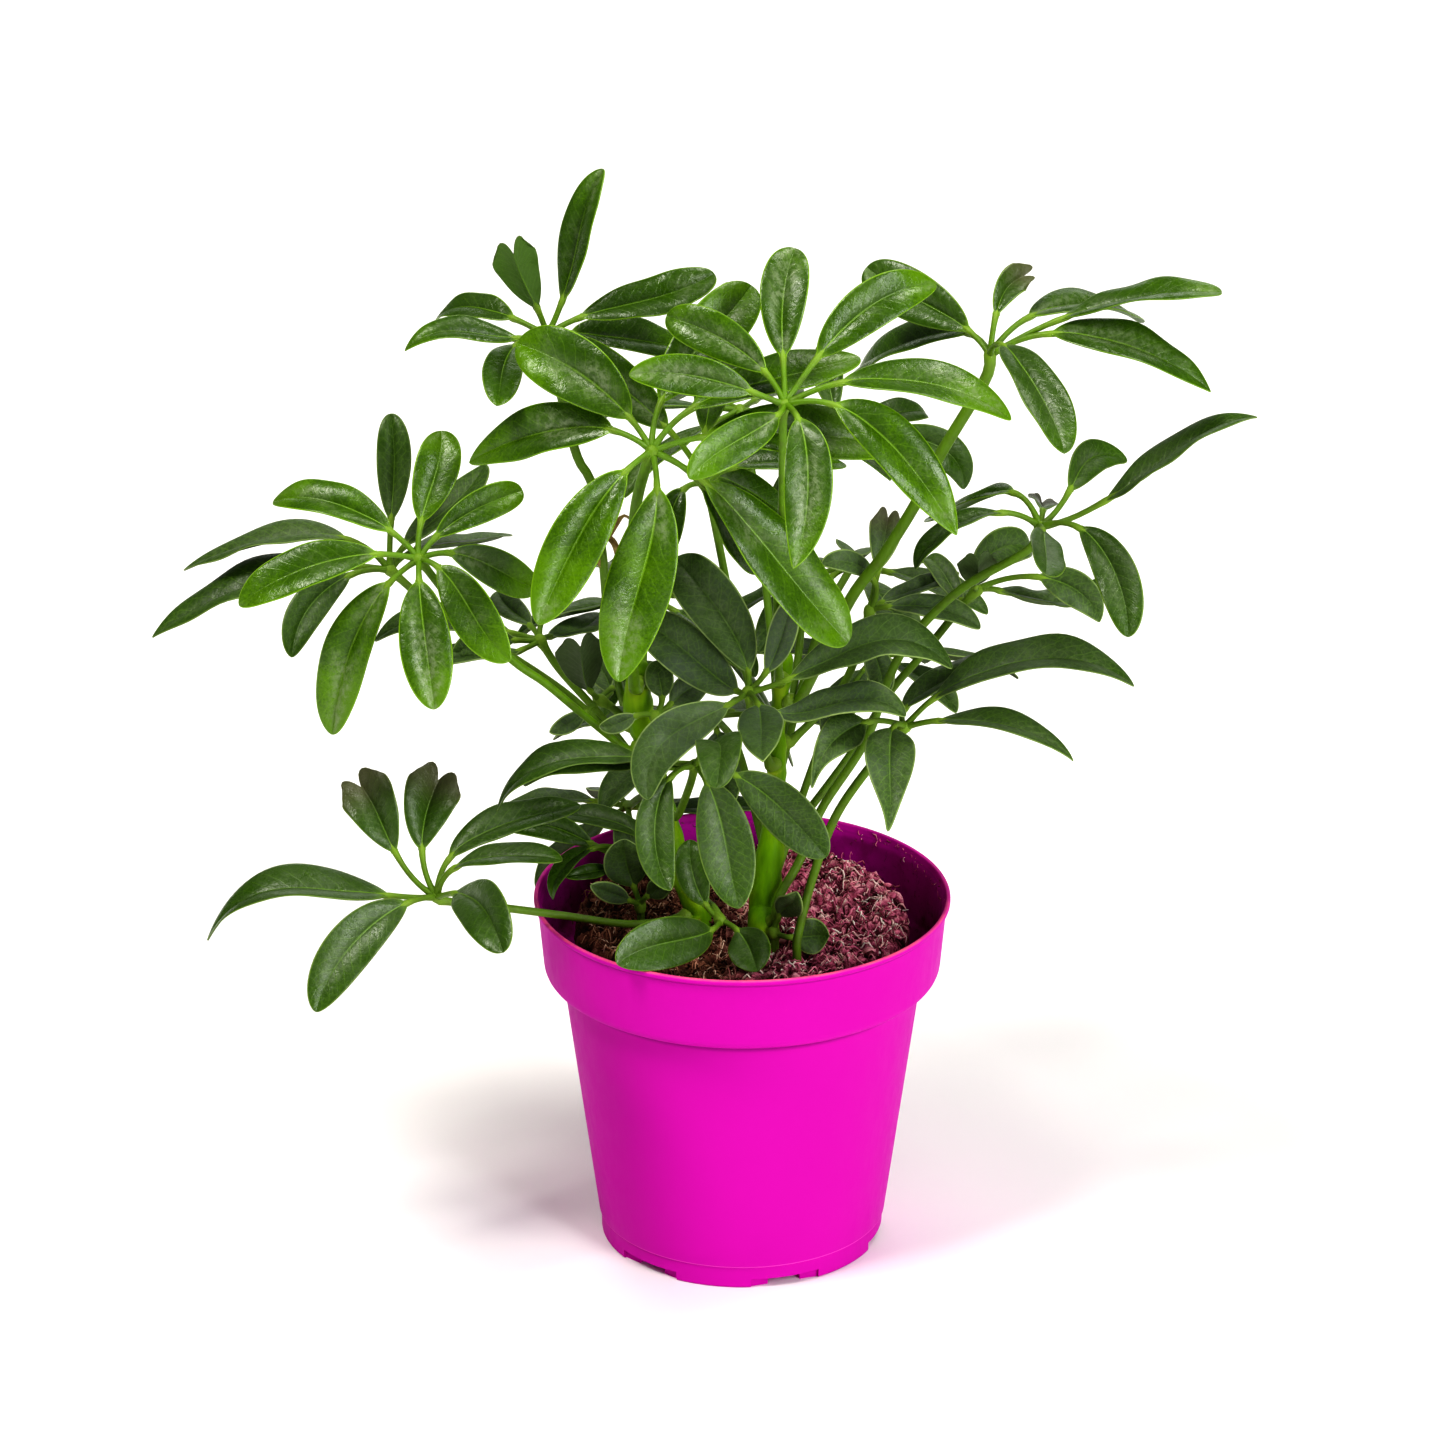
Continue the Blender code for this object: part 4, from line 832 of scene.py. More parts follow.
def build_stem(name, look):
    """A stem with swollen rings where its leaves spring, and scars of shed ones."""
    draw = random.Random(name)
    axis = stem_axis(name)
    axis.insert(0, Vector((axis[0].x, axis[0].y, HOLE_FLOOR_Z + 0.5)))
    path = smooth_path(axis, STEM_RINGS)
    base = [row[3] for row in STEMS[name]]
    lengths = distances(axis)
    reach = distances(path)
    joints = stem_joints(name, path, draw)
    scale = lengths[-1] / reach[-1]
    radii = [float(np.interp(at * scale, lengths, [base[0]] + base)) for at in reach]
    tip = path[-1]
    out = (path[-1] - path[-2]).normalized()
    for share in STEM_CAP:
        path.append(tip + out * STEM_TIP * share)
        radii.append(radii[STEM_RINGS] * math.sqrt(max(1.0 - share * share, 0.02)))
    points, faces = tube(path, radii, STEM_SIDES)
    points = np.array(points)
    outward = unit(points - np.repeat(np.array(path), STEM_SIDES, axis=0))
    along = np.repeat(np.arange(len(path)), STEM_SIDES) * reach[-1] / STEM_RINGS
    scar, sheath, swell = np.zeros((3, len(points)))
    for place, way_out, strength in joints:
        facing = outward @ np.array(way_out)
        gap = along - place * reach[-1] / STEM_RINGS + draw.uniform(0.5, 1.8) * facing
        swell += strength * NODE_SWELL * bell(gap, 1.8) * (0.55 + 0.45 * facing)
        line = bell(gap + 1.0, 0.42) * np.clip(0.30 + 0.70 * facing, 0.0, 1.0)
        scar = np.maximum(scar, line * draw.uniform(0.5, 1.0))
        tongue = smoothstep(0.30, 0.95, facing + np.minimum(gap, 0.0) * 0.05)
        tongue = tongue * smoothstep(-11.0, -1.0, gap) * (1 - smoothstep(-0.6, 0.8, gap))
        sheath = np.maximum(sheath, tongue * strength)
    lumps = np.array([noise.noise(Vector((x * 0.5, y * 0.5, z * 0.16))) for x, y, z in points])
    points = points + outward * (lumps * 0.28 + swell + sheath * 0.35)[:, None]
    draft = Draft("along", "scar", "sheath")
    height = (points[:, 2] - SOIL_TOP_Z) / (tip.z - SOIL_TOP_Z)
    draft.add(points, faces, along=height, scar=scar, sheath=sheath)
    return draft.piece(name + "_fine", look, name)


# The pot and the root ball

def pot_profile():
    """Outside from the middle of the foot up to the lip, then the inside down to the floor: radius, height
    and the rounding of each corner."""
    foot = FOOT_RADIUS + 0.1
    return (
        (0, 0, 0), (FOOT_RADIUS, 0, 0.7), (foot, FOOT_STEP_Z - 0.2, 0.15), (foot + FOOT_STEP, FOOT_STEP_Z, 0.2),
        (BODY_TOP_RADIUS, BODY_TOP_Z, 0.4), (BODY_TOP_RADIUS + 2.4, BODY_TOP_Z + 1.0, 0.8),
        (BAND_BOTTOM_RADIUS, BAND_BOTTOM_Z - 0.2, 1.6), (RIM_RADIUS - LIP_OVERHANG, POT_HEIGHT - LIP_DROP, 0.3),
        (RIM_RADIUS, POT_HEIGHT - LIP_DROP + 0.5, 0.35), (RIM_RADIUS, POT_HEIGHT, 0.65),
        (RIM_RADIUS - 1.05, POT_HEIGHT, 0.4), (RIM_RADIUS - LIP_WIDTH, POT_HEIGHT - LIP_DEPTH, 0.6),
        (RIM_RADIUS - LIP_OVERHANG - WALL - 0.2, POT_HEIGHT - KNEE_DROP, 0.8),
        (BAND_BOTTOM_RADIUS - WALL, BAND_BOTTOM_Z + 1.4, 0.8), (BODY_TOP_RADIUS - WALL + 1.0, BODY_TOP_Z + 1.8, 0.8),
        (BODY_TOP_RADIUS - WALL, BODY_TOP_Z + 0.8, 0.5), (foot + FOOT_STEP - WALL, FOOT_STEP_Z + 0.6, 0.5),
        (FOOT_RADIUS - FOOT_RING, FLOOR_EDGE_Z, 0.5), (FOOT_RADIUS - FOOT_RING, FLOOR_THICKNESS, 0.4),
        (0, FLOOR_THICKNESS, 0),
    )


def rounded(corners):
    """A profile with each corner turned into a short arc of the given rounding."""
    result = []
    for i, (r, z, rounding) in enumerate(corners):
        here = np.array((r, z), float)
        if rounding == 0:
            result.append(here)
            continue
        start, end = (here + way * min(rounding / np.linalg.norm(way), 0.45)
                      for way in (np.array(corners[k][:2], float) - here for k in (i - 1, i + 1)))
        for k in range(CORNER_STEPS + 1):
            t = k / CORNER_STEPS
            result.append((1 - t) ** 2 * start + 2 * t * (1 - t) * here + t * t * end)
    return result


def cut_from(pot, angle, width, depth):
    """Cut a block as wide and as deep as given out of the edge of the pot's foot."""
    out, side = Vector((math.sin(angle), -math.cos(angle), 0)), Vector((math.cos(angle), math.sin(angle), 0))
    near, far = FOOT_RADIUS - depth, FOOT_RADIUS + 2.5
    points = [(out * r + side * s * width / 2 + Vector((0, 0, z))) * MM
              for z in (-1.0, SLOT_HEIGHT) for r, s in ((near, -1), (far, -1), (far, 1), (near, 1))]
    mesh = bpy.data.meshes.new("slot")
    mesh.from_pydata(points, [], [(0, 3, 2, 1), (4, 5, 6, 7), (0, 1, 5, 4), (1, 2, 6, 5), (2, 3, 7, 6), (3, 0, 4, 7)])
    hole = pot.modifiers.new("slot", "BOOLEAN")
    hole.operation, hole.solver = "DIFFERENCE", "EXACT"
    hole.object = in_scene(bpy.data.objects.new("slot", mesh))
    return hole.object


def build_pot(look):
    profile = rounded(pot_profile())
    line = [profile[0]]
    for a, b in zip(profile, profile[1:]):
        parts = max(1, int(np.linalg.norm(b - a) / LONGEST_FACE))
        line += [a + (b - a) * k / parts for k in range(1, parts + 1)]
    crest = max(range(len(line)), key=lambda i: line[i][1])
    points, lips, inner = [(0, 0, line[0][1])], [0.0], [0.0]
    for i, (r, z) in enumerate(line[1:-1], 1):
        points += [around(r, math.tau * k / POT_SIDES, z) for k in range(POT_SIDES)]
        lips += [float(smoothstep(POT_HEIGHT - 0.45, POT_HEIGHT - 0.05, z))] * POT_SIDES
        inner += [float(smoothstep(POT_HEIGHT - 0.6, POT_HEIGHT - 4.0, z)) if i > crest else 0.0] * POT_SIDES
    points.append((0, 0, line[-1][1]))
    draft = Draft("lip", "inside")
    draft.add(points, turned_faces(len(line) - 2, POT_SIDES), lip=lips + [0.0], inside=inner + [1.0])
    pot = draft.piece("pot_fine", look, "pot")
    cutters = [cut_from(pot, math.radians(SLOT_FIRST_ANGLE + 360.0 * k / SLOTS), width, depth) for k in range(SLOTS)
               for width, depth in ((RECESS_WIDTH, RECESS_DEPTH), (SLOT_WIDTH, FOOT_RING + 1.5))]
    graph = bpy.context.evaluated_depsgraph_get()
    whole, pot.data = pot.data, bpy.data.meshes.new_from_object(pot.evaluated_get(graph))
    pot.modifiers.clear()
    bpy.data.meshes.remove(whole)
    for cutter in cutters:
        bpy.data.objects.remove(cutter)
    pot.data.set_sharp_from_angle(angle=SHARP_ANGLE)
    return pot


def wall_radius(z):
    """Inner radius of the pot's band at a height."""
    heights = BAND_BOTTOM_Z + 1.4, POT_HEIGHT - KNEE_DROP, POT_HEIGHT - LIP_DEPTH
    radii = BAND_BOTTOM_RADIUS - WALL, RIM_RADIUS - LIP_OVERHANG - WALL - 0.2, RIM_RADIUS - LIP_WIDTH
    return float(np.interp(z, heights, radii))


def soil_relief(x, y):
    """Height of the soil's clods and grains alone, at a place."""
    clods = noise.fractal(Vector((x * 0.26, y * 0.26, 5.1)), 0.8, 2.1, 3) * 1.9
    return clods + noise.noise(Vector((x * 1.1, y * 1.1, 9.4)))


def soil_height(x, y):
    """Height of the soil's top at a place: low mounds, clods and grains."""
    mound_x, mound_y, high, wide = MOUND
    mounds = noise.noise(Vector((x * 0.045, y * 0.045, 1.7))) * 1.2
    mounds += high * math.exp(-((x - mound_x) ** 2 + (y - mound_y) ** 2) / wide ** 2)
    return SOIL_TOP_Z + mounds + soil_relief(x, y)


def soil_edge(turn):
    """Radius at which the root ball's top breaks off, at an angle."""
    return SOIL_TOP_RADIUS - 1.6 + 1.3 * noise.noise(Vector(around(2.6, turn, 3.3)))


def build_soil(look):
    """Rough top, crumbling shoulder and plain sides down to the pot's floor."""
    turns = [math.tau * k / SOIL_SECTORS for k in range(SOIL_SECTORS)]
    points = [(0, 0, soil_height(0, 0))]
    for i in range(1, SOIL_RINGS + 1):
        share = i / SOIL_RINGS
        for k in range(SOIL_SECTORS):
            turn = math.tau * (k + 0.5 * (i % 2)) / SOIL_SECTORS
            x, y, _ = around(soil_edge(turn) * share ** 0.8, turn, 0)
            points.append((x, y, soil_height(x, y) - SOIL_EDGE_DROP * float(smoothstep(0.93, 1.0, share))))
    for drop, radius in ((0.35, 0.4), (0.75, 0.0)):
        for turn in turns:
            rough = noise.noise(Vector(around(14, turn, drop * 9))) * 0.5
            r = min(soil_edge(turn) + radius + rough, SOIL_TOP_RADIUS)
            points.append(around(r, turn, lerp(SOIL_TOP_Z - SOIL_EDGE_DROP, SOIL_SHOULDER_Z, drop)))
    inside = BODY_TOP_RADIUS - WALL - CLEARANCE
    low = FOOT_RADIUS - FOOT_RING - CLEARANCE
    floor = FLOOR_THICKNESS + 0.3
    for radius, z in ((inside - 0.3, BODY_TOP_Z - 1.0), (low, FLOOR_EDGE_Z), (low, floor)):
        points += [around(radius, turn, z) for turn in turns]
    points.append((0, 0, floor))
    faces = [face[::-1] for face in turned_faces(len(points) // SOIL_SECTORS, SOIL_SECTORS)]
    top = 1 + SOIL_RINGS * SOIL_SECTORS
    draft = Draft("relief")
    # relief: the clods' height at each top vertex, for the peat's painted shade in the hollows and painted light on
    # the tops.
    draft.add(points, faces, relief=[soil_relief(x, y) for x, y, z in points[:top]] + [0.0] * (len(points) - top))
    return draft.piece("soil_fine", look, "soil")


def place_on_soil(draw, margin):
    """A random place on the soil's top, at least a margin away from its edge."""
    turn = draw.uniform(0, math.tau)
    return around((soil_edge(turn) - margin) * math.sqrt(draw.random()), turn, 0)[:2]


def mostly(draw, share, low, limit, high):
    """A random number from low to limit for that share of the draws, and from limit to high for the others."""
    return draw.uniform(low, limit) if draw.random() < share else draw.uniform(limit, high)


def add_fibre(draft, draw):
    """A coir fibre or fine root that lies on the soil and stands a little out of it."""
    x, y = place_on_soil(draw, 2.0)
    heading = draw.uniform(0, math.tau)
    length = mostly(draw, 0.93, 1.2, LONG_FIBRE, 10.0)
    curl = draw.triangular(-0.45, 0.45, 0.0)
    thick = draw.uniform(0.10, 0.30) if length < LONG_FIBRE else draw.uniform(0.09, 0.18)
    rise = draw.uniform(0.0, 1.0) * min(length * 0.45, 1.7)
    kink = draw.randrange(1, FIBRE_STEPS)
    lean = draw.uniform(-0.5, 0.5)
    bound = SOIL_TOP_RADIUS - 1.0
    path, radii = [], []
    for k in range(FIBRE_STEPS + 1):
        share = k / FIBRE_STEPS
        heading += curl + draw.triangular(-0.9, 0.9, 0.0) * (k == kink)
        x += math.cos(heading) * length / FIBRE_STEPS
        y += math.sin(heading) * length / FIBRE_STEPS
        reach = math.hypot(x, y)
        if reach > bound:
            x, y = x * bound / reach, y * bound / reach
        arch = math.sin(math.pi * share) + lean * (share - 0.5)
        path.append((x, y, soil_height(x, y) + thick * 0.4 + rise * arch))
        radii.append(thick * (0.45 + 0.55 * math.sin(math.pi * (0.12 + 0.76 * share))))
    shade = draw.choice(FIBRE_SHADES) + draw.uniform(-0.10, 0.10)
    # Fibres lying on raised clods are painted lighter and those in hollows darker: painted light and painted shade.
    draft.add(*tube(path, radii, 4), shade=shade + 0.10 * soil_relief(x, y))


def add_stuck_fibre(draft, draw):
    """A scrap of fibre or grain of soil that clings to the wall between the soil and the lip."""
    turn = math.radians(draw.triangular(-35.0, 120.0, 35.0))
    height = draw.triangular(SOIL_TOP_Z + 1.0, POT_HEIGHT - 0.6, POT_HEIGHT - 0.8)
    heading = draw.uniform(-0.6, 0.6) if draw.random() < 0.6 else draw.uniform(-1.6, 1.6)
    length = mostly(draw, 0.85, 0.3, 1.6, 4.0)
    thick = draw.uniform(0.06, 0.15)
    path = []
    for k in range(5):
        z = min(height + math.sin(heading) * length * k / 4, POT_HEIGHT - 0.4)
        r = wall_radius(z) - thick * 0.6
        path.append(around(r, turn + math.cos(heading) * length * k / 4 / r, z))
        heading += draw.uniform(-0.5, 0.5)
    draft.add(*tube(path, [thick * s for s in (0.5, 0.9, 1.0, 0.9, 0.5)], 4), shade=draw.triangular(0.0, 0.9, 0.3))


def build_fibres(look):
    draw = random.Random(FIBRE_SEED)
    draft = Draft("shade")
    for _ in range(FIBRES):
        add_fibre(draft, draw)
    for _ in range(STUCK_FIBRES):
        add_stuck_fibre(draft, draw)
    return draft.piece("soil_fibres", look)


def build_crumbs(look):
    """Clods and chips of peat and bark, half sunk into the soil."""
    draw = random.Random(CRUMB_SEED)
    draft = Draft("shade")
    shape = bmesh.new()
    bmesh.ops.create_icosphere(shape, subdivisions=1, radius=1.0)
    ball = [v.co.copy() for v in shape.verts]
    faces = [tuple(v.index for v in f.verts) for f in shape.faces]
    shape.free()
    for _ in range(CRUMBS):
        x, y = place_on_soil(draw, 1.2)
        size = mostly(draw, 0.88, 0.30, 0.75, 1.5)
        stretch = Vector((draw.uniform(0.7, 1.5), draw.uniform(0.6, 1.1), draw.uniform(0.4, 0.9))) * size
        spin = draw.uniform(0, math.tau)
        seed = Vector((draw.uniform(0, 50), draw.uniform(0, 50), 0))
        centre = Vector((x, y, soil_height(x, y) + stretch.z * 0.25))
        points = []
        for p in ball:
            q = p * stretch * (1 + 0.70 * noise.noise(p * 1.9 + seed))
            points.append(centre + Vector((q.x * math.cos(spin) - q.y * math.sin(spin),
                                           q.x * math.sin(spin) + q.y * math.cos(spin), q.z)))
        pale = draw.random() < 0.10 and size < 0.5
        draft.add(points, faces, shade=1.0 if pale else draw.triangular(0.0, 0.65, 0.12))
    return draft.piece("soil_crumbs", look)


# Materials

class Value:
    """A node's output, with the arithmetic and mappings that materials need."""

    def __init__(self, look, socket):
        self.look, self.socket = look, socket

    def math(self, operation, *others):
        return self.look.node("ShaderNodeMath", dict(enumerate((self, *others))), operation=operation)

    __add__ = partialmethod(math, "ADD")
    __sub__ = partialmethod(math, "SUBTRACT")
    __mul__ = partialmethod(math, "MULTIPLY")
    __truediv__ = partialmethod(math, "DIVIDE")
    __abs__ = partialmethod(math, "ABSOLUTE")
    larger = partialmethod(math, "MAXIMUM")
    folded = partialmethod(math, "PINGPONG")

    def rest(self):
        """What it leaves of 1."""
        return self.look.node("ShaderNodeMath", {0: 1.0, 1: self}, operation="SUBTRACT")

    def eased(self, low, high, to_low=0.0, to_high=1.0, kind="SMOOTHSTEP"):
        """Its place between low and high, from to_low to to_high, eased at both ends unless it is straight."""
        inputs = {"Value": self, "From Min": low, "From Max": high, "To Min": to_low, "To Max": to_high}
        return self.look.node("ShaderNodeMapRange", inputs, interpolation_type=kind, clamp=True)

    straight = partialmethod(eased, kind="LINEAR")

    def ramp(self, *stops):
        """The colour at its place on a ramp of (place, colour) stops."""
        made = self.look.node("ShaderNodeValToRGB", {"Fac": self})
        elements = made.socket.node.color_ramp.elements
        while len(elements) < len(stops):
            elements.new(0.5)
        for element, (place, colour) in zip(elements, stops):
            element.position, element.color = place, colour + (1.0,)
        return made

    def tinted(self, colour, share):
        """This colour with a share of another one."""
        return self.look.mix(self, colour, share)


class Look:
    """A material's node tree, built up by small calls that return values."""

    def __init__(self, name):
        self.material = bpy.data.materials.new(name)
        self.material.use_nodes = True
        self.tree = self.material.node_tree

    def node(self, kind, inputs=(), output=0, **settings):
        made = self.tree.nodes.new(kind)
        for key, value in settings.items():
            setattr(made, key, value)
        for key, value in dict(inputs).items():
            self.plug(made.inputs[key], value)
        return Value(self, made.outputs[output])

    def plug(self, socket, value):
        if isinstance(value, Value):
            self.tree.links.new(value.socket, socket)
        elif isinstance(value, tuple) and len(value) == 3 and socket.type == "RGBA":
            socket.default_value = value + (1.0,)
        else:
            socket.default_value = value

    def attribute(self, name):
        return self.node("ShaderNodeAttribute", output="Fac", attribute_name=name)

    def place(self):
        return self.node("ShaderNodeTexCoord", output="Object")

    def place_along(self, axis):
        return self.node("ShaderNodeSeparateXYZ", {"Vector": self.place()}, output=axis)

    def mix(self, a, b, share):
        return self.node("ShaderNodeMix", {0: share, 6: a, 7: b}, output=2, data_type="RGBA")

    def noise(self, seed, scale, detail=3.0, rough=0.55, stretch=None):
        vector = self.place()
        if stretch:
            vector = self.node("ShaderNodeMapping", {"Vector": vector, "Scale": stretch})
        inputs = {"Vector": vector, "W": seed, "Scale": scale, "Detail": detail, "Roughness": rough}
        return self.node("ShaderNodeTexNoise", inputs, noise_dimensions="4D")

    def finish(self, colour, roughness, specular, *layers):
        """The material, with a relief in layers of (height, distance in metres, strength)."""
        inputs = self.tree.nodes["Principled BSDF"].inputs
        normal = {}
        for height, distance, strength in layers:
            relief = {"Height": height, "Distance": distance, "Strength": strength, **normal}
            normal = {"Normal": self.node("ShaderNodeBump", relief)}
        for key, value in {"Base Color": colour, "Roughness": roughness, "Specular IOR Level": specular,
                           **normal}.items():
            self.plug(inputs[key], value)
        return self.material


def leaf_look():
    """Leathery leaf: dark to bright with its vigour, a pale rib and margin, faint side veins, pitted gloss and
    painted grey sheen patches.
    """
    look = Look("leaf")
    along, under, stalk, vigour, grain, inset, notched = (
        look.attribute(name) for name in ("along", "under", "stalk", "vigour", "grain", "inset", "blush"))
    across = abs(look.attribute("across"))
    old = vigour.eased(0.20, 0.55, 1.0, 0.0)

    patches = look.noise(1, 70.0, 3.0, 0.6)
    speckle = look.noise(2, 1700.0, 2.0, 0.7)
    tone = vigour + patches.straight(0.30, 0.70, -0.17, 0.17) + grain.straight(0.0, 1.0, -0.08, 0.08)
    tone = tone + speckle.straight(0.25, 0.75, -0.13, 0.13) + along.eased(0.45, 1.0) * 0.25
    face = tone.ramp((0.0, (0.070, 0.106, 0.056)), (0.28, (0.052, 0.096, 0.020)), (0.55, (0.029, 0.073, 0.0005)),
                     (0.78, (0.040, 0.099, 0.0003)), (1.0, (0.088, 0.190, 0.0003)))
    pale = vigour.ramp((0.0, (0.105, 0.185, 0.040)), (0.5, (0.170, 0.320, 0.020)), (1.0, (0.270, 0.480, 0.030)))
    hem = vigour.ramp((0.20, (0.310, 0.420, 0.130)), (0.40, (0.130, 0.210, 0.025)), (0.75, (0.220, 0.400, 0.010)))
    back = vigour.ramp((0.0, (0.050, 0.062, 0.034)), (0.5, (0.060, 0.115, 0.018)), (1.0, (0.090, 0.210, 0.010)))
    bark = vigour.ramp((0.0, (0.088, 0.165, 0.006)), (0.5, (0.105, 0.205, 0.003)), (1.0, (0.130, 0.280, 0.002)))
    yellow_bloom, painted_sheen_grey, brown_blush = (0.20, 0.38, 0.004), (0.230, 0.280, 0.160), (0.090, 0.060, 0.050)
    bark_brown, sheath_green = (0.07, 0.07, 0.02), (0.230, 0.360, 0.030)

    rib_half = along.straight(0.0, 1.0, 0.075, 0.020)
    rib = (across / rib_half).eased(0.40, 1.0).rest() * along.straight(0.0, 0.85, 0.80, 0.05)
    slant = along * VEIN_PAIRS - across * VEIN_SLANT
    tooth = (slant + look.noise(3, 140.0, 1.0) * 1.2).folded(0.5)
    vein = tooth.eased(0.0, 0.075).rest() * across.eased(0.60, 0.90, 1.0, 0.0)
    cells = look.node("ShaderNodeTexVoronoi", {"Vector": look.place(), "Scale": 520.0, "Randomness": 1.0},
                      feature="DISTANCE_TO_EDGE")
    net = cells.eased(0.0, 0.14, 1.0, 0.0)
    margin = inset.eased(0.08, old.eased(0.0, 1.0, 0.27, 0.38), 1.0, 0.0) * patches.eased(0.35, 0.65, 0.90, 0.45)
    bloom = look.noise(7, 24.0, 1.0).eased(0.66, 0.78) * vigour.eased(0.5, 0.8)
    meal = look.noise(10, 2300.0, 1.0, 0.5).eased(0.60, 0.70)
    # Painted sheen: pale grey mottled patches on the inner part of each half, stronger on brighter leaves.
    painted_sheen = look.noise(11, 42.0, 2.0, 0.6).eased(0.45, 0.60) * across.eased(0.35, 0.85, 1.0, 0.0)
    painted_sheen = painted_sheen * look.noise(12, 620.0, 3.0, 0.7).eased(0.40, 0.62, 0.15, 1.0)

    face = face.tinted(pale, vein * old.eased(0.0, 1.0, 0.16, 0.36))
    face = face.tinted(pale, net * old.eased(0.0, 1.0, 0.04, 0.22)).tinted(pale, rib).tinted(hem, margin)
    face = face.tinted(pale, along.eased(0.0, 0.09, 0.5, 0.0)).tinted(yellow_bloom, bloom * 0.35)
    face = face.tinted(pale, meal * old.eased(0.0, 1.0, 0.05, 0.26))
    face = face.tinted(painted_sheen_grey, painted_sheen * vigour.eased(0.45, 0.75, 0.15, 0.60))
    face = face.tinted(brown_blush, notched * along.eased(0.35, 1.0, 0.0, 0.62))
    back = back.tinted(pale, rib.larger(vein * 0.25) * 0.9)
    bark = bark.tinted(bark_brown, look.noise(4, 400.0, 2.0).eased(0.45, 0.75, 0.0, 0.35))
    face = face.tinted(back, under).tinted(bark.tinted(sheath_green, along * 0.8), stalk)

    pits = look.noise(5, 950.0, 3.0, 0.65)
    creases = look.noise(6, 330.0, 3.0, 0.60)
    gloss = (pits + creases).straight(0.75, 1.25, 0.17, 0.38)
    gloss = gloss + look.noise(9, 45.0, 2.0).eased(0.35, 0.65, -0.03, 0.08) + under.larger(stalk) * 0.18 + old * 0.26
    return look.finish(face, gloss, 0.42, (vein, 0.00012, 0.20), (creases, 0.00060, 0.46), (pits, 0.00020, 0.60))


def stem_look():
    """Green stem with paler sheaths, brown leaf scars and fine streaks."""
    look = Look("stem")
    sheath_green, scar_pale, fleck_brown = (0.300, 0.430, 0.020), (0.360, 0.440, 0.040), (0.12, 0.09, 0.03)
    streaks = look.noise(1, 260.0, 3.0, 0.6, stretch=(1.0, 1.0, 0.12))
    skin = (streaks + look.attribute("along") * 0.10).ramp(
        (0.25, (0.060, 0.145, 0.0005)), (0.50, (0.110, 0.250, 0.0005)), (0.80, (0.210, 0.390, 0.001)))
    skin = skin.tinted(sheath_green, look.attribute("sheath") * streaks.eased(0.25, 0.75, 0.55, 1.0) * 0.8)
    skin = skin.tinted(scar_pale, look.attribute("scar").eased(0.25, 1.0, 0.0, 0.75))
    skin = skin.tinted(fleck_brown, look.noise(2, 900.0, 2.0).eased(0.62, 0.80, 0.0, 0.5))
    return look.finish(skin, streaks.straight(0.2, 0.8, 0.40, 0.62), 0.12, (streaks, 0.00030, 0.5),
                       (look.noise(3, 1800.0, 2.0), 0.00008, 0.5))


def plastic_look():
    """Thin moulded magenta plastic, satin, with faint flow marks and scuffs, painted highlights on the lip's crest
    and the foot's ledge, painted shade under the band and under the lip, and darker marks and soil dust inside.
    """
    look = Look("pot_plastic")
    magenta, bright_magenta, scuffed = (0.515, 0.0035, 0.348), (0.575, 0.0060, 0.398), (0.72, 0.05, 0.42)
    lip_highlight, lit_ledge, shaded = (1.0, 0.16, 0.27), (0.95, 0.14, 0.66), (0.190, 0.001, 0.140)
    inner_magenta, inner_dark, soil_dust = (0.52, 0.003, 0.40), (0.120, 0.004, 0.026), (0.060, 0.014, 0.010)
    x, y, z = (look.place_along(axis) for axis in "XYZ")
    inside = look.attribute("inside")
    flow = look.noise(1, 9.0, 2.0, 0.5, stretch=(1.0, 1.0, 0.4))
    scuffs = look.noise(2, 420.0, 4.0, 0.75, stretch=(1.0, 1.0, 0.35))
    colour = look.mix(magenta, bright_magenta, flow.eased(0.3, 0.7))
    colour = colour.tinted(scuffed, scuffs.eased(0.60, 0.80, 0.0, 0.12))
    # Painted highlight: a pale orange-pink line along the lip's crest, strongest at the front.
    lip_highlight_share = look.attribute("lip") * y.eased(-0.045, 0.030, 0.85, 0.15)
    colour = colour.tinted(lip_highlight, lip_highlight_share * look.noise(5, 120.0, 3.0, 0.7).eased(0.35, 0.60, 0.5, 1.0))
    ledge = abs(z - FOOT_STEP_Z * MM).eased(0.00010, 0.00032).rest()
    colour = colour.tinted(lit_ledge, ledge * 0.55)
    # Painted shade: a dark band on the body just under the band's edge, and a thin dark line under the lip's
    # overhang, left off the inside.
    band_shadow = z.eased((BODY_TOP_Z - 1.5) * MM, (BODY_TOP_Z - 0.2) * MM)
    band_shadow = band_shadow * z.eased((BODY_TOP_Z + 1.2) * MM, (BODY_TOP_Z + 2.0) * MM, 1.0, 0.0)
    groove = abs(z - (POT_HEIGHT - LIP_DROP - 0.15) * MM).eased(0.00010, 0.00040, 1.0, 0.0)
    shade = (band_shadow * 0.60).larger(groove * 0.40)
    colour = colour.tinted(shaded, shade * inside.rest()).tinted(inner_magenta, inside * 0.70)
    # Darker towards +X and lower down the inside, in blotches.
    inner_darkening = x.eased(0.022, 0.050, 0.0, 0.55) + look.noise(6, 60.0, 4.0, 0.7).eased(0.42, 0.68, 0.0, 0.75)
    inner_darkening = inner_darkening * z.eased(BODY_TOP_Z * MM, POT_HEIGHT * MM, 1.0, 0.55)
    dust = inside * look.noise(4, 420.0, 4.0, 0.8).eased(0.56, 0.66)
    colour = colour.tinted(inner_dark, inside * inner_darkening).tinted(soil_dust, dust * 0.75)
    return look.finish(colour, scuffs.straight(0.35, 0.70, 0.42, 0.60), 0.07,
                       (look.noise(3, 1500.0, 2.0), 0.00004, 0.5), (flow, 0.0006, 0.35))


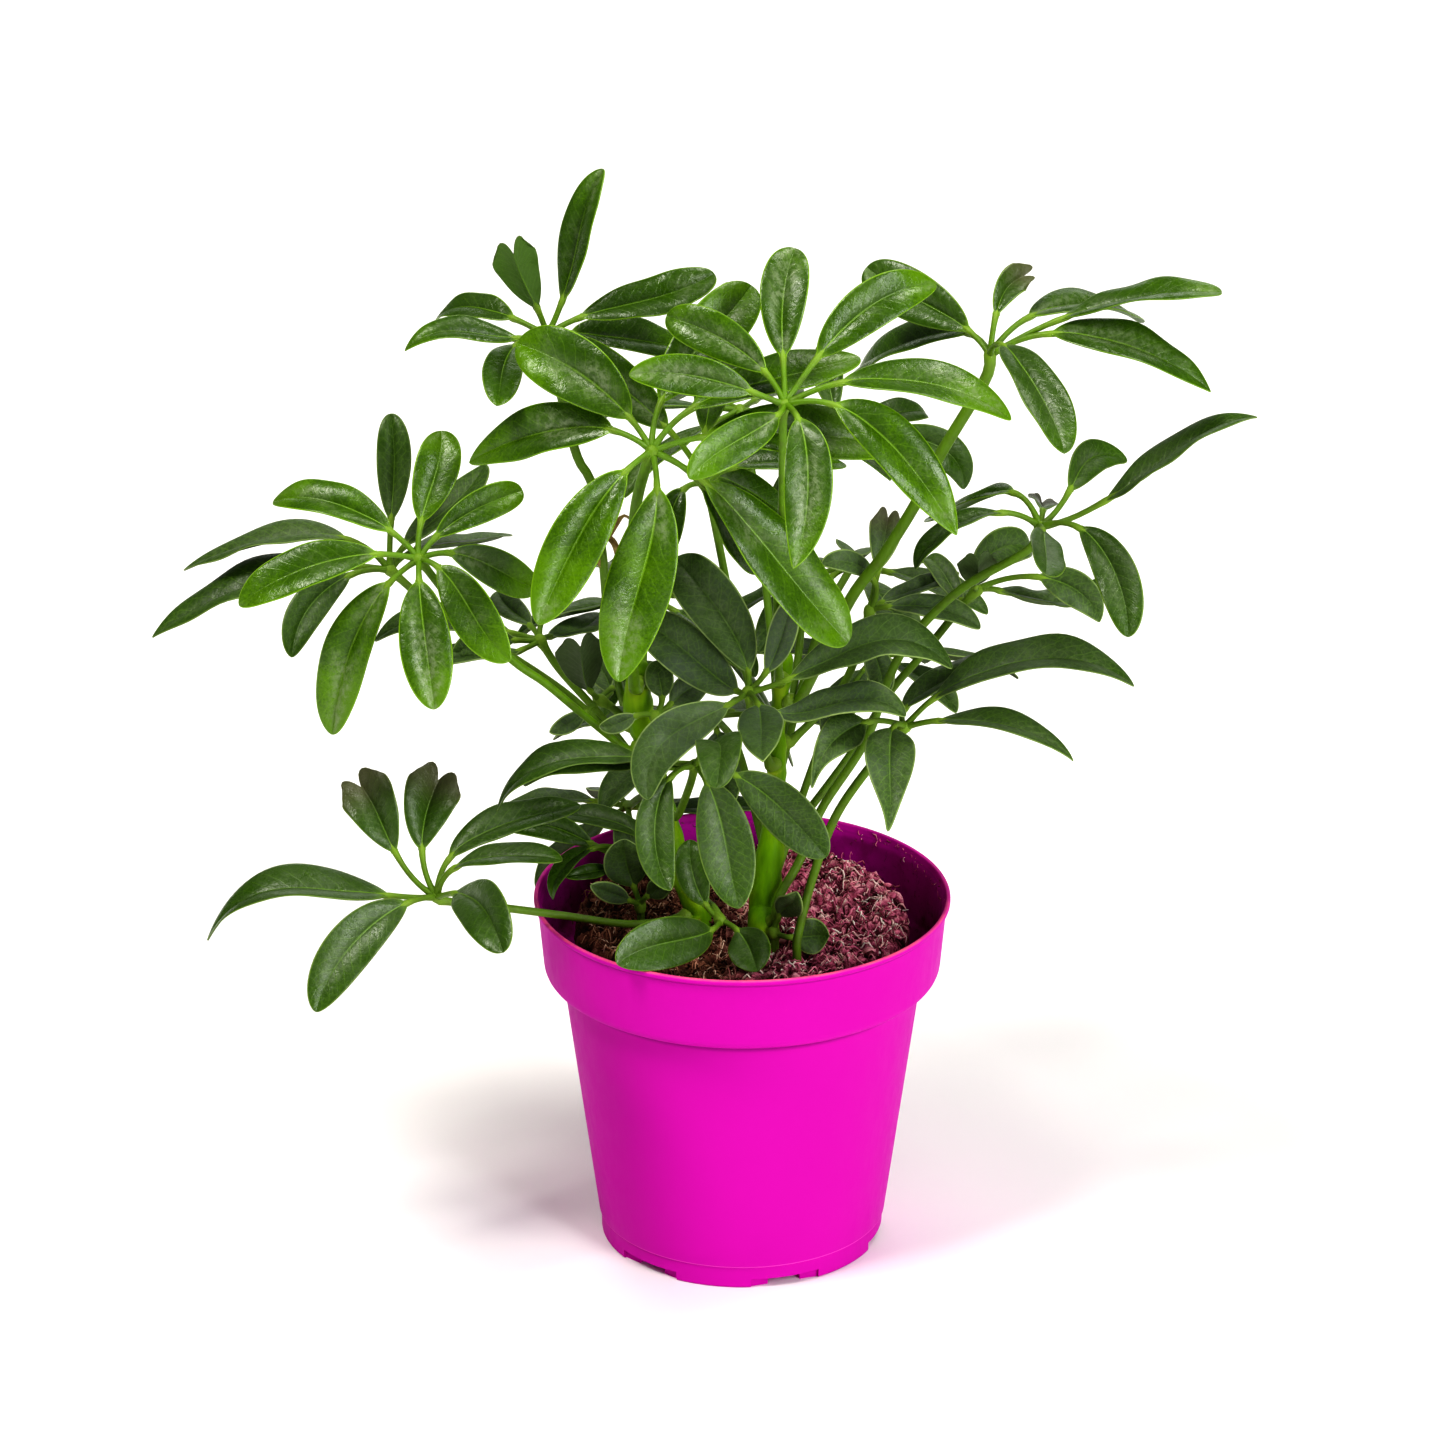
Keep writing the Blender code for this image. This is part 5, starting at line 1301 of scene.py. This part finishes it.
def painted_light_side(look):
    """Share of painted light, tinted pink as a reflection of the pot, on the soil and its fibres: most to +X."""
    east = look.place_along("X") + look.noise(8, 90.0, 2.0).straight(0.0, 1.0, -0.012, 0.012)
    return east.eased(-0.010, 0.016, 0.0, 0.75)


def peat_look():
    """Dark peat and coir, from its grains to its pale tops: painted shade in the hollows between clods, painted light
    on the raised tops, and painted pink light towards +X.
    """
    look = Look("peat")
    clumps = look.noise(1, 260.0, 5.0, 0.70)
    grains = look.noise(2, 1500.0, 3.0, 0.75)
    # The clods' height adds painted light on raised tops and painted shade in the hollows.
    tone = clumps * 0.6 + grains * 0.5 + look.attribute("relief") * 0.16
    own_tone = tone.ramp((0.30, (0.012, 0.004, 0.002)), (0.50, (0.072, 0.024, 0.014)), (0.68, (0.200, 0.075, 0.050)),
                     (0.85, (0.400, 0.190, 0.140)))
    rosy = tone.ramp((0.30, (0.008, 0.001, 0.003)), (0.48, (0.110, 0.016, 0.036)), (0.62, (0.620, 0.135, 0.260)),
                     (0.78, (1.0, 0.480, 0.560)))
    # The rosy tone is painted light and painted pink reflection of the pot, towards +X.
    return look.finish(own_tone.tinted(rosy, painted_light_side(look)), 0.92, 0.2, (clumps, 0.0012, 0.8), (grains, 0.0005, 0.9))


def fibre_look():
    """Coir fibres and roots: each its own shade from dark brown to pale straw."""
    look = Look("coir_fibre")
    fleck = look.noise(1, 1200.0, 2.0)
    tone = look.attribute("shade") + fleck.straight(0.3, 0.7, -0.12, 0.12)
    own_tone = tone.ramp((0.0, (0.040, 0.013, 0.007)), (0.45, (0.210, 0.085, 0.048)), (0.8, (0.480, 0.240, 0.160)),
                     (1.0, (0.740, 0.520, 0.400)))
    rosy = tone.ramp((0.0, (0.050, 0.007, 0.012)), (0.20, (0.340, 0.055, 0.120)), (0.42, (0.950, 0.250, 0.430)),
                     (0.66, (1.0, 0.600, 0.600)), (0.95, (1.0, 0.970, 0.910)))
    # The rosy tone is painted light and painted pink reflection of the pot, towards +X.
    return look.finish(own_tone.tinted(rosy, painted_light_side(look)), 0.85, 0.25, (fleck, 0.0001, 0.6))


def dry_look():
    """Brown dried leaf sheath."""
    look = Look("dried_sheath")
    streaks = look.noise(1, 500.0, 3.0, 0.6)
    colour = streaks.ramp((0.3, (0.160, 0.100, 0.030)), (0.55, (0.320, 0.230, 0.080)), (0.8, (0.520, 0.430, 0.200)))
    return look.finish(colour, 0.7, 0.3, (streaks, 0.0003, 0.6))


def floor_look():
    look = Look("studio_floor")
    return look.finish(look.mix((0.86, 0.86, 0.86), (0.88, 0.88, 0.88), look.noise(1, 1.5, 2.0, 0.4)), 0.9, 0.1)


# Studio

def build_studio():
    """The photograph's camera, a pale floor and soft lamps."""
    scene = bpy.context.scene
    lens = bpy.data.cameras.new("camera")
    lens.sensor_width, lens.lens, lens.clip_end = SENSOR_WIDTH, SENSOR_WIDTH * FOCAL_PIXELS / FRAME_PIXELS, 20.0
    scene.camera = in_scene(bpy.data.objects.new("camera", lens))
    scene.camera.location = EYE * MM
    scene.camera.rotation_euler = (math.pi / 2 - VIEW_ELEVATION, 0.0, 0.0)

    mesh = bpy.data.meshes.new("studio_floor")
    mesh.from_pydata([(x * FLOOR_REACH, y * FLOOR_REACH, 0) for x, y in ((-1, -1), (1, -1), (1, 1), (-1, 1))], [],
                     [(0, 1, 2, 3)])
    mesh.materials.append(floor_look())
    floor = in_scene(bpy.data.objects.new("studio_floor", mesh))

    for name, place, size, power, colour in LAMPS:
        lamp = bpy.data.lights.new(name, "AREA")
        lamp.shape = "RECTANGLE"
        lamp.size, lamp.size_y = size
        lamp.energy, lamp.color = power, colour
        obj = in_scene(bpy.data.objects.new(name, lamp))
        obj.location = place
        obj.rotation_euler = (LAMP_TARGET - Vector(place)).to_track_quat("-Z", "Y").to_euler()

    scene.world = bpy.data.worlds.new("studio")
    scene.world.use_nodes = True
    sky = scene.world.node_tree.nodes["Background"].inputs
    sky["Color"].default_value = WHITE + (1.0,)
    sky["Strength"].default_value = WORLD_LIGHT
    scene.view_settings.view_transform = "Standard"
    scene.view_settings.look = "High Contrast"
    scene.view_settings.exposure = 0.0


build_leaves(leaf_look())
stem = stem_look()
for stem_name in STEMS:
    build_stem(stem_name, stem)
build_dried(dry_look())
build_pot(plastic_look())
build_soil(peat_look())
fibre = fibre_look()
build_fibres(fibre)
build_crumbs(fibre)
build_studio()
